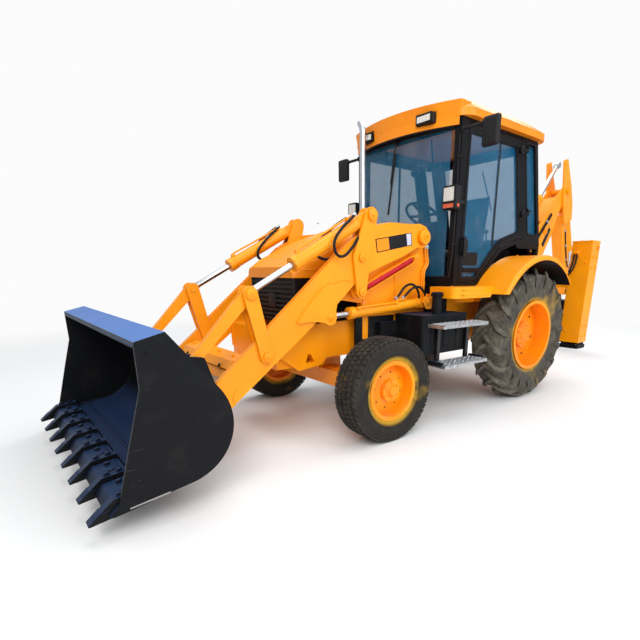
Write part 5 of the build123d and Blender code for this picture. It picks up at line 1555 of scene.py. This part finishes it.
# rear frame, stabilisers and backhoe
rearTrim = {
    "armY": -0.430, "cheek": 0.125, "boomFoot": (-1.580, 0.780), "boomTip": (-2.930, 2.640),
    "dipperTop": (-2.800, 3.020), "dipperEnd": (-3.480, 1.080), "leverEnd": (-3.720, 1.420),
    "ramPins": {"boom": (1.500, 0.040), "boomHorn": (0.900, 0.450), "dipper": (0.300, 0.240)},
}


def boomAt(distance, above=0.0, y=0.0):
    return linePoint(rearTrim["boomFoot"], rearTrim["boomTip"], distance, -above, rearTrim["armY"] + y)


def dipperAt(distance, above=0.0, y=0.0):
    return linePoint(rearTrim["boomTip"], rearTrim["dipperEnd"], distance, -above, rearTrim["armY"] + y)


def armAt(place):
    # a point in the arm's middle plane
    return at(place[0], rearTrim["armY"], place[1])


def pinPiece(name, body, pins, bm=None):
    # each pin is its centre, the distance out to its ends, their radius and height
    bm = bm or bmesh.new()
    for centre, reach, radius, height in pins:
        for side in (1, -1):
            bossIn(bm, centre + Vector((0, side * reach, 0)), side, radius, height)
    finishPiece(bm, name, body, "paint")


casingTrim = {
    "front": -0.870, "rear": -1.070, "in": 0.915, "out": 1.150, "boltIn": 0.045, "endBoltIn": 0.050,
    "sideBolts": (0.640, 0.760, 1.440, 1.560), "endBolts": (0.700, 1.500), "cap": (1.729, 1.741),
    "ring": [(-0.001, 0.023), (-0.001, 0.034), (0.005, 0.034), (0.005, 0.023), (-0.001, 0.023)],
    "ringAt": (-1.020, 1.660), "hose": 0.0105, "hoses": ((0.0, 0.970), (0.018, 1.004)),  # shift inwards, y
}


def buildCasings(trim):
    # bolts on every face, the cap plate with its two bolts and the round lashing hole's ring
    front, rear, outer = trim["front"], trim["rear"], trim["out"]
    bm = bmesh.new()
    for z in trim["sideBolts"]:
        for x in (rear + trim["boltIn"], front - trim["boltIn"]):
            boltIn(bm, at(x, outer, z), (0, 1, 0), 0.011)
    for z in trim["endBolts"]:
        for y in (trim["in"] + trim["endBoltIn"], outer - trim["endBoltIn"]):
            boltIn(bm, at(front, y, z), (1, 0, 0), 0.011)
            boltIn(bm, at(rear, y, z), (-1, 0, 0), 0.011)
    boxAt(bm, rear - 0.006, front + 0.006, trim["in"] - 0.006, outer, *trim["cap"], 0.004)
    x, z = trim["ringAt"]
    latheIn(bm, trim["ring"], at(x, outer, z), 36)
    for y in (trim["in"] + 0.060, outer - 0.060):
        boltIn(bm, at((front + rear) / 2, y, 1.740), (0, 0, 1), 0.012)
    finishBoth(bm, "casing_bolts", "machine", "paint")
    # bracket and two hoses that bring oil to each leg
    bm = bmesh.new()
    boxAt(bm, front - 0.002, front + 0.060, 0.955, 1.020, 1.600, 1.612, 0.003)
    boxAt(bm, front - 0.002, front + 0.008, 0.955, 1.020, 1.560, 1.640, 0.003)
    runs = []
    for shift, y in trim["hoses"]:
        barIn(bm, at(front + 0.036, y, 1.590), at(front + 0.036, y, 1.625), 0.013, sides=6, bevel=0.0015)
        runs.append([at(front + 0.036, y, 1.595), at(front + 0.038, y, 1.530),
                     at(front + 0.050, y - 0.012, 1.440),
                     at(front + 0.044, y - 0.050 - shift, 1.360), at(front + 0.020, y - 0.100 - shift, 1.330),
                     at(front - 0.012, y - 0.115 - shift, 1.322)])
    finishBoth(bm, "leg_hose_brackets", "machine", "paint")
    linesOf("leg_hoses", "machine", "rubber", trim["hose"], bothSides(runs))


footTrim = {"ribs": 5, "ribHalf": 0.011, "ribEnd": 0.030, "bolt": (0.018, 0.030, 0.0455), "boltSize": 0.0045}


def buildLegs(trim):
    # ribs of the rubber sole under each foot plate, and the bolts' heads on top of it
    for name in hands:
        low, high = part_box(f"stabiliser_{name}")
        bm = bmesh.new()
        half = trim["ribHalf"]
        for x in evenly(low.x + trim["ribEnd"], high.x - trim["ribEnd"], trim["ribs"] - 1):
            foot, top = low.z + 0.0005, low.z + 0.006
            boxIn(bm, (x - half, low.y + 0.008, foot), (x + half, high.y - 0.008, top), 0.002, 1)
        finishPiece(bm, f"leg_sole_{name}", f"stabiliser_{name}", "rubber")
        bm = bmesh.new()
        dx, dy, height = trim["bolt"]
        for x in (low.x + dx, high.x - dx):
            for y in (low.y + dy, high.y - dy):
                boltIn(bm, Vector((x, y, low.z + height)), (0, 0, 1), trim["boltSize"])
        finishPiece(bm, f"leg_bolts_{name}", f"stabiliser_{name}", "zinc")


carriageTrim = {
    "face": -1.210, "boltZ": (0.660, 1.320), "boltOut": 0.232, "boltSize": 0.010,
    "swingX": -1.360, "swingCaps": ((1.260, 1), (0.600, -1)),  # height and the way the cap looks
    "cap": [(-0.001, 0.0), (-0.001, 0.062), (0.014, 0.062), (0.018, 0.056), (0.018, 0.030), (0.026, 0.028),
            (0.026, 0.0)],
    "rails": (-1.046, -0.904, -0.905, 0.905), "railZ": ((1.361, 1.367), (0.613, 0.619)),
}


def buildCarriage(trim):
    # bolts on the carriage, the swing pin's ends and the machined slide faces above and below it
    y = rearTrim["armY"]
    bm = bmesh.new()
    for z in trim["boltZ"]:
        for shift in (-trim["boltOut"], trim["boltOut"]):
            boltIn(bm, at(trim["face"], y + shift, z), (-1, 0, 0), trim["boltSize"])
    finishPiece(bm, "carriage_bolts", "shift_carriage", "paint")
    bm = bmesh.new()
    for z, up in trim["swingCaps"]:
        cap = [(shift * up, radius) for shift, radius in trim["cap"]]
        latheIn(bm, cap, at(trim["swingX"], y, z), 40, (0, 0, 1))
    finishPiece(bm, "swing_pin_ends", "shift_carriage", "paint")
    bm = bmesh.new()
    for z0, z1 in trim["railZ"]:
        boxAt(bm, *trim["rails"], z0, z1, 0.002)
    finishPiece(bm, "slide_rails", "machine", "steel")


boomTrim = {  # places are distances along the boom and heights over its line
    "discs": ((0.42, 0.02), (1.05, 0.02), (1.75, 0.03)), "discRadius": 0.030, "weld": 0.0050, "hose": 0.0105,
    "welds": [[(0.300, -0.140), (0.900, -0.180), (1.600, -0.152), (1.780, -0.114)],
              [(0.560, 0.160), (0.830, 0.505), (0.970, 0.505), (1.150, 0.250), (1.700, 0.200)]],
    "hoseRun": [(0.180, 0.050), (0.330, 0.060), (0.600, 0.090), (0.800, 0.200), (1.000, 0.225),
                (1.250, 0.165),
                (1.500, 0.140), (1.680, 0.116), (1.780, 0.104)],
    "lanes": (0.0, 0.028), "clamps": ((0.540, 0.082), (0.760, 0.180), (1.180, 0.168), (1.620, 0.112)),
    "clampHalf": (0.014, 0.013, 0.036), "strip": ((1.30, -0.02), (1.62, -0.01), (1.62, -0.08), (1.30, -0.10)),
}


def buildBoomTrim(trim):
    cheek, pins = rearTrim["cheek"], rearTrim["ramPins"]
    foot, tip = rearTrim["boomFoot"], rearTrim["boomTip"]
    slope = math.atan2(tip[1] - foot[1], foot[0] - tip[0])
    bosses, clamps, strips = bmesh.new(), bmesh.new(), bmesh.new()
    welds, hoses = [], []
    for side in (1, -1):
        for distance, above in trim["discs"]:
            latheIn(bosses, [(side * -0.001, 0.0), (side * -0.001, trim["discRadius"]),
                             (side * 0.004, trim["discRadius"]), (side * 0.004, 0.0)],
                    boomAt(distance, above, side * cheek), 28)
        welds += [[boomAt(*spot, side * (cheek + 0.0005)) for spot in line] for line in trim["welds"]]
        for lane in trim["lanes"]:
            hoses.append([boomAt(d, a - lane, side * (cheek + 0.011)) for d, a in trim["hoseRun"]])
        for distance, above in trim["clamps"]:
            spot = boomAt(distance, above - 0.012, side * (cheek + 0.010))
            blockIn(clamps, spot, trim["clampHalf"], 0.003, 1, turnAbout(slope, "Y", spot))
        # blank strip on both cheeks
        pushFace(strips, [boomAt(*spot, side * (cheek - 0.0005)) for spot in trim["strip"]], side * 0.0017)
    pinPiece("boom_bosses", "boom", [(boomAt(*pins["boom"]), cheek + 0.014, 0.040, 0.006),
                                     (boomAt(*pins["boomHorn"]), cheek + 0.014, 0.036, 0.006)], bosses)
    linesOf("boom_welds", "boom", "paint", trim["weld"], welds, 2)
    linesOf("boom_hoses", "boom", "rubber", trim["hose"], hoses)
    finishPiece(clamps, "boom_hose_clamps", "boom", "zinc")
    finishPiece(strips, "boom_blank_strips", "boom", "plateBlack")
    pinPiece("boom_foot_pin_ends", "kingpost", [(boomAt(0), cheek + 0.008, 0.030, 0.005)])
    pinPiece("boom_tip_pin_ends", "boom", [(boomAt(math.dist(foot, tip)), 0.185, 0.034, 0.006)])


dipperTrim = {  # places are distances along the dipper and heights over its line
    "weldY": 0.0905, "weld": 0.0050, "hoseY": 0.104, "hose": 0.0105, "clampHalf": (0.022, 0.013, 0.014),
    "welds": [[(0.52, 0.118), (1.00, 0.092), (1.50, 0.064), (1.58, 0.050)],
              [(0.52, -0.098), (1.00, -0.082), (1.50, -0.058), (1.58, -0.050)]],
    "hoseRun": [(0.60, 0.010), (0.80, 0.000), (1.00, 0.004), (1.16, 0.020), (1.24, 0.050)],
    "clamps": (0.62, 0.86, 1.10),
}


def buildDipperTrim(trim):
    pinPiece("dipper_bosses", "dipper", [(armAt(rearTrim["dipperTop"]), 0.149, 0.034, 0.006),
                                         (dipperAt(*rearTrim["ramPins"]["dipper"]), 0.058, 0.030, 0.006),
                                         (dipperAt(1.400), 0.130, 0.032, 0.006)])
    clamps = bmesh.new()
    welds, hoses = [], []
    for side in (1, -1):
        welds += [[dipperAt(*spot, side * trim["weldY"]) for spot in line] for line in trim["welds"]]
        hoses.append([dipperAt(*spot, side * trim["hoseY"]) for spot in trim["hoseRun"]])
        for distance in trim["clamps"]:
            blockIn(clamps, dipperAt(distance, 0.006, side * 0.1005), trim["clampHalf"], 0.003, 1)
    linesOf("dipper_welds", "dipper", "paint", trim["weld"], welds, 2)
    linesOf("dipper_hoses", "dipper", "rubber", trim["hose"], hoses)
    finishPiece(clamps, "dipper_hose_clamps", "dipper", "zinc")
    pinPiece("lever_end_pin_ends", "bucket_lever", [(armAt(rearTrim["leverEnd"]), 0.140, 0.030, 0.006)])


def digRams():
    # each ram's body, foot pin, rod pin, side its ports are on, barrel's length, tube and rod radius
    pins = rearTrim["ramPins"]
    return [("boom_barrel", armAt((-1.545, 1.330)), boomAt(*pins["boom"]), -1, 0.885, 0.052, 0.028),
            ("dipper_barrel", boomAt(*pins["boomHorn"]), armAt(rearTrim["dipperTop"]), 1, 0.950, 0.052,
             0.028),
            ("crowd_barrel", dipperAt(*pins["dipper"]), armAt(rearTrim["leverEnd"]), 1, 0.740, 0.055, 0.030)]


def buildDigRams():
    # gland, port blocks and pipe on the three digging rams
    for body, start, end, way, length, tube, rod in digRams():
        run = (end - start).normalized()
        across = Vector((run.z, 0, -run.x)) * way
        bm = bmesh.new()
        latheIn(bm, [(length - 0.060, tube), (length - 0.055, tube + 0.011), (length - 0.008, tube + 0.011),
                     (length - 0.002, tube + 0.006), (length + 0.001, tube - 0.008),
                     (length + 0.0015, rod + 0.0006)],
                start, 40, run)
        for distance in (0.150, length - 0.090):
            blockIn(bm, start + run * distance + across * (tube + 0.008), (0.016, 0.016, 0.016), 0.003)
        finishPiece(bm, f"{body}_gland", body, "paint")
        bends = ((length - 0.090, 0.020), (length - 0.140, 0.024), (length * 0.5, 0.016), (0.240, 0.016),
                 (0.150, 0.022))
        pipe = [start + run * distance + across * (tube + height) for distance, height in bends]
        linesOf(f"{body}_pipe", body, "paint", 0.0075, [pipe])


diggerTrim = {  # places are measured from the dipper's end
    "half": 0.300, "weld": 0.0060, "stripShares": (0.18, 0.50, 0.82), "strip": (0.022, 0.005),
    "stripGap": 0.010,
    "back": [(-0.470, -0.500), (-0.400, -0.790), (-0.235, -0.900)],
    "seam": [(-0.330, -0.172), (-0.468, -0.500), (-0.399, -0.788), (-0.236, -0.896)],
    "bolts": ((-0.110, -0.560), (-0.060, -0.420), (-0.020, -0.290)), "boltSize": 0.013,
}


def buildDigger(trim):
    # wear strips on the digging bucket's back, the welds along its edges and bolts on its sides
    x, z = rearTrim["dipperEnd"]
    y0, y1 = rearTrim["armY"] - trim["half"], rearTrim["armY"] + trim["half"]
    back = [(x + dx, z + dz) for dx, dz in trim["back"]]
    bm = bmesh.new()
    for share in trim["stripShares"]:
        y = y0 + (y1 - y0) * share
        for (xa, za), (xb, zb) in zip(back, back[1:]):
            middle = at((xa + xb) / 2, y, (za + zb) / 2)
            half = math.dist((xa, za), (xb, zb)) / 2 - trim["stripGap"]
            blockIn(bm, middle, (half, *trim["strip"]), 0.003, 1,
                    turnAbout(math.atan2(za - zb, xb - xa), "Y", middle))
    finishPiece(bm, "digger_wear_strips", "backhoe_bucket", "bucket")
    seams = [[at(x + dx, y, z + dz) for dx, dz in trim["seam"]] for y in (y0 + 0.002, y1 - 0.002)]
    linesOf("digger_welds", "backhoe_bucket", "bucket", trim["weld"], seams, 2)
    bm = bmesh.new()
    for side, y in ((1, y1), (-1, y0)):
        for dx, dz in trim["bolts"]:
            boltIn(bm, at(x + dx, y, z + dz), (0, side, 0), trim["boltSize"])
    finishPiece(bm, "digger_bolts", "backhoe_bucket", "steel")


buildCasings(casingTrim)
buildLegs(footTrim)
buildCarriage(carriageTrim)
buildBoomTrim(boomTrim)
buildDipperTrim(dipperTrim)
buildDigRams()
buildDigger(diggerTrim)
print("rear trimmed")

# seat: cushion and back in woven cloth with welted seams
seatShape = {
    "cushion": ((0.036, -0.236, 1.521), (0.526, 0.236, 1.636)), "crown": 0.020, "backCrown": 0.8,
    "backLow": (-0.035, 1.650), "backTop": (-0.122, 2.226), "backHalf": 0.222, "backThick": 0.088,
    "channels": 3, "groove": 0.010, "grooveHalf": 0.045, "seamAt": 0.62, "seamHalf": 0.040,
    "welt": 0.0042, "weltAt": 0.486, "weltSteps": 48,
}


def padIn(bm, long, wide, thick, crown, shape):
    # a pad around the origin: long in x, wide in y, crowned in z, with sewn channels across it
    bmesh.ops.create_grid(bm, x_segments=48, y_segments=32, size=0.5)
    channels, groove, seam = shape["channels"], shape["groove"], shape["seamAt"]
    for vert in bm.verts:
        u, v = vert.co.x * 2, vert.co.y * 2
        edge = (1 - abs(u) ** 6) ** 0.28 * (1 - abs(v) ** 6) ** 0.28 if abs(u) < 1 and abs(v) < 1 else 0
        pull = 1 - 0.022 * (1 - v * v) * abs(u) ** 3 - 0.022 * (1 - u * u) * abs(v) ** 3
        height = thick * 0.5 * edge + crown * (1 - u * u) * (1 - v * v)
        lines = [(u + 0.52 - 1.04 * (n + 0.5) / channels, shape["grooveHalf"], abs(v) < seam)
                 for n in range(channels)]
        lines += [(v - line, shape["seamHalf"], abs(u) < 0.86) for line in (-seam, seam)]
        for away, half, sewn in lines:
            if sewn and abs(away) < half:
                height -= groove * (1 - (away / half) ** 2) ** 2
        vert.co = Vector((u * long / 2 * pull, v * wide / 2 * pull, height))
    copy = bmesh.ops.duplicate(bm, geom=bm.verts[:] + bm.edges[:] + bm.faces[:])["geom"]
    for vert in [item for item in copy if isinstance(item, bmesh.types.BMVert)]:
        vert.co.z = -min(abs(vert.co.z), thick * 0.5)
    bmesh.ops.remove_doubles(bm, verts=bm.verts, dist=0.0004)


def buildSeat(shape):
    low, high = (Vector(corner) for corner in shape["cushion"])
    size = high - low
    crown = shape["crown"]
    foot, top = Vector(shape["backLow"]), Vector(shape["backTop"])
    middle = (foot + top) / 2
    lean = math.atan2(top.x - foot.x, top.y - foot.y)
    cushionPlace = Matrix.Translation(at(low.x + size.x / 2, 0, (low.z + high.z - crown) / 2))
    backPlace = (Matrix.Translation(at(middle.x, 0, middle.y)) @ Matrix.Rotation(lean, 4, "Y")
                 @ Matrix.Rotation(math.radians(90), 4, "Y") @ Matrix.Rotation(math.radians(180), 4, "Z"))
    for name, long, wide, thick, rise, place in (
            ("seat_cushion", size.x, size.y, size.z - crown, crown, cushionPlace),
            ("seat_back", (top - foot).length, shape["backHalf"] * 2, shape["backThick"],
             crown * shape["backCrown"], backPlace)):
        bm = bmesh.new()
        padIn(bm, long, wide, thick, rise, shape)
        bmesh.ops.transform(bm, matrix=place, verts=bm.verts)
        piece = finishPiece(bm, name, "machine", "cloth", sharp=60)
        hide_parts("seat_pads")
        # piping around the pad's waist, a rounded rectangle
        run = []
        for n in range(shape["weltSteps"] + 1):
            turn = 2 * math.pi * n / shape["weltSteps"]
            u, v = math.cos(turn), math.sin(turn)
            reach = (abs(u) ** 6 + abs(v) ** 6) ** (-1 / 6) * shape["weltAt"]
            run.append(place @ Vector((u * reach * long, v * reach * wide, 0)))
        linesOf(f"{name}_piping", "machine", "interior", shape["welt"], [run])


buildSeat(seatShape)
print("seat built")

# stage: pale floor, soft light, camera
stageSetup = {
    "floorHalf": 60, "floorTone": 0.80, "backTone": 0.97,
    "fade": (4.5, 11.0),  # the far floor turns white between these distances
    "ambient": 0.62, "ambientTone": (0.93, 0.96, 1.0),
    "cameraPlace": (4.379, 3.546, 1.377),
    "cameraTurn": (72.415, -0.151, 139.805),   # degrees about x, y and z
    "lens": 24.55, "sensor": 36, "shift": (-0.0668, 0.1423),
    "lamps": [  # place, aim, size, power, colour
        ((7.0, 6.5, 6.5), (0.8, 0.3, 0.9), 5.0, 520, (1.0, 0.98, 0.95)),
        ((-1.0, 9.0, 5.0), (0.0, 0.3, 1.2), 6.0, 360, (0.96, 0.98, 1.0)),
        ((-7.0, -6.0, 6.0), (-1.0, 0.0, 1.2), 6.0, 440, (0.96, 0.98, 1.0)),
        ((0.0, 0.0, 9.0), (0.0, 0.0, 0.0), 8.0, 460, (1.0, 1.0, 1.0)),
    ],
}


def buildFloor(setup):
    bm = bmesh.new()
    bmesh.ops.create_grid(bm, x_segments=2, y_segments=2, size=setup["floorHalf"])
    mesh = bpy.data.meshes.new("studioFloor")
    bm.to_mesh(mesh)
    bm.free()
    tone = setup["floorTone"]
    ground = Look("studio floor", Roughness=0.9)
    ground.set(Base_Color=ground.mix(ground.noise(0.6, 3) * 0.15, (tone, tone, tone), (tone * 0.94,) * 3))
    away = ground.add("ShaderNodeVectorMath", {"operation": "LENGTH"}, [ground.place], "Value")
    seen = ground.add("ShaderNodeLightPath", output="Is Camera Ray")
    white = ground.add("ShaderNodeEmission", None, {"Color": (1, 1, 1), "Strength": setup["backTone"]})
    sockets = [away.step(*setup["fade"]) * seen, Wire(ground, ground.shader.outputs[0]), white]
    ground.feed(ground.output.inputs[0], ground.add("ShaderNodeMixShader", None, sockets))
    mesh.materials.append(ground.material)
    put("studioFloor", mesh)


def buildSky(setup):
    # plain soft light, and white where the camera looks past the floor or through glass
    world = bpy.data.worlds.new("studio")
    world.use_nodes = True
    sky = Graph(world.node_tree)
    straight = sky.add("ShaderNodeLightPath", output="Is Camera Ray")
    through = sky.add("ShaderNodeLightPath", output="Is Transmission Ray")
    lit = sky.add("ShaderNodeBackground", None, {"Color": setup["ambientTone"], "Strength": setup["ambient"]})
    white = sky.add("ShaderNodeBackground", None, {"Color": (1, 1, 1), "Strength": setup["backTone"]})
    mixed = sky.add("ShaderNodeMixShader", None, [straight.maths("MAXIMUM", straight, through), lit, white])
    sky.add("ShaderNodeOutputWorld", None, [mixed])
    bpy.context.scene.world = world


def buildLights(setup):
    for number, (place, aim, size, power, colour) in enumerate(setup["lamps"]):
        light = bpy.data.lights.new(f"softbox{number}", "AREA")
        light.size = size
        light.energy = power
        light.color = colour
        lamp = put(f"softbox{number}", light)
        lamp.location = place
        lamp.rotation_euler = (Vector(aim) - Vector(place)).to_track_quat("-Z", "Y").to_euler()


def buildCamera(setup):
    lens = bpy.data.cameras.new("viewCamera")
    lens.lens = setup["lens"]
    lens.sensor_width = setup["sensor"]
    lens.shift_x, lens.shift_y = setup["shift"]
    camera = put("viewCamera", lens)
    camera.location = setup["cameraPlace"]
    camera.rotation_euler = [math.radians(turn) for turn in setup["cameraTurn"]]
    bpy.context.scene.camera = camera
    bpy.context.scene.view_settings.view_transform = "Standard"


buildFloor(stageSetup)
buildSky(stageSetup)
buildLights(stageSetup)
buildCamera(stageSetup)
print("stage ready")
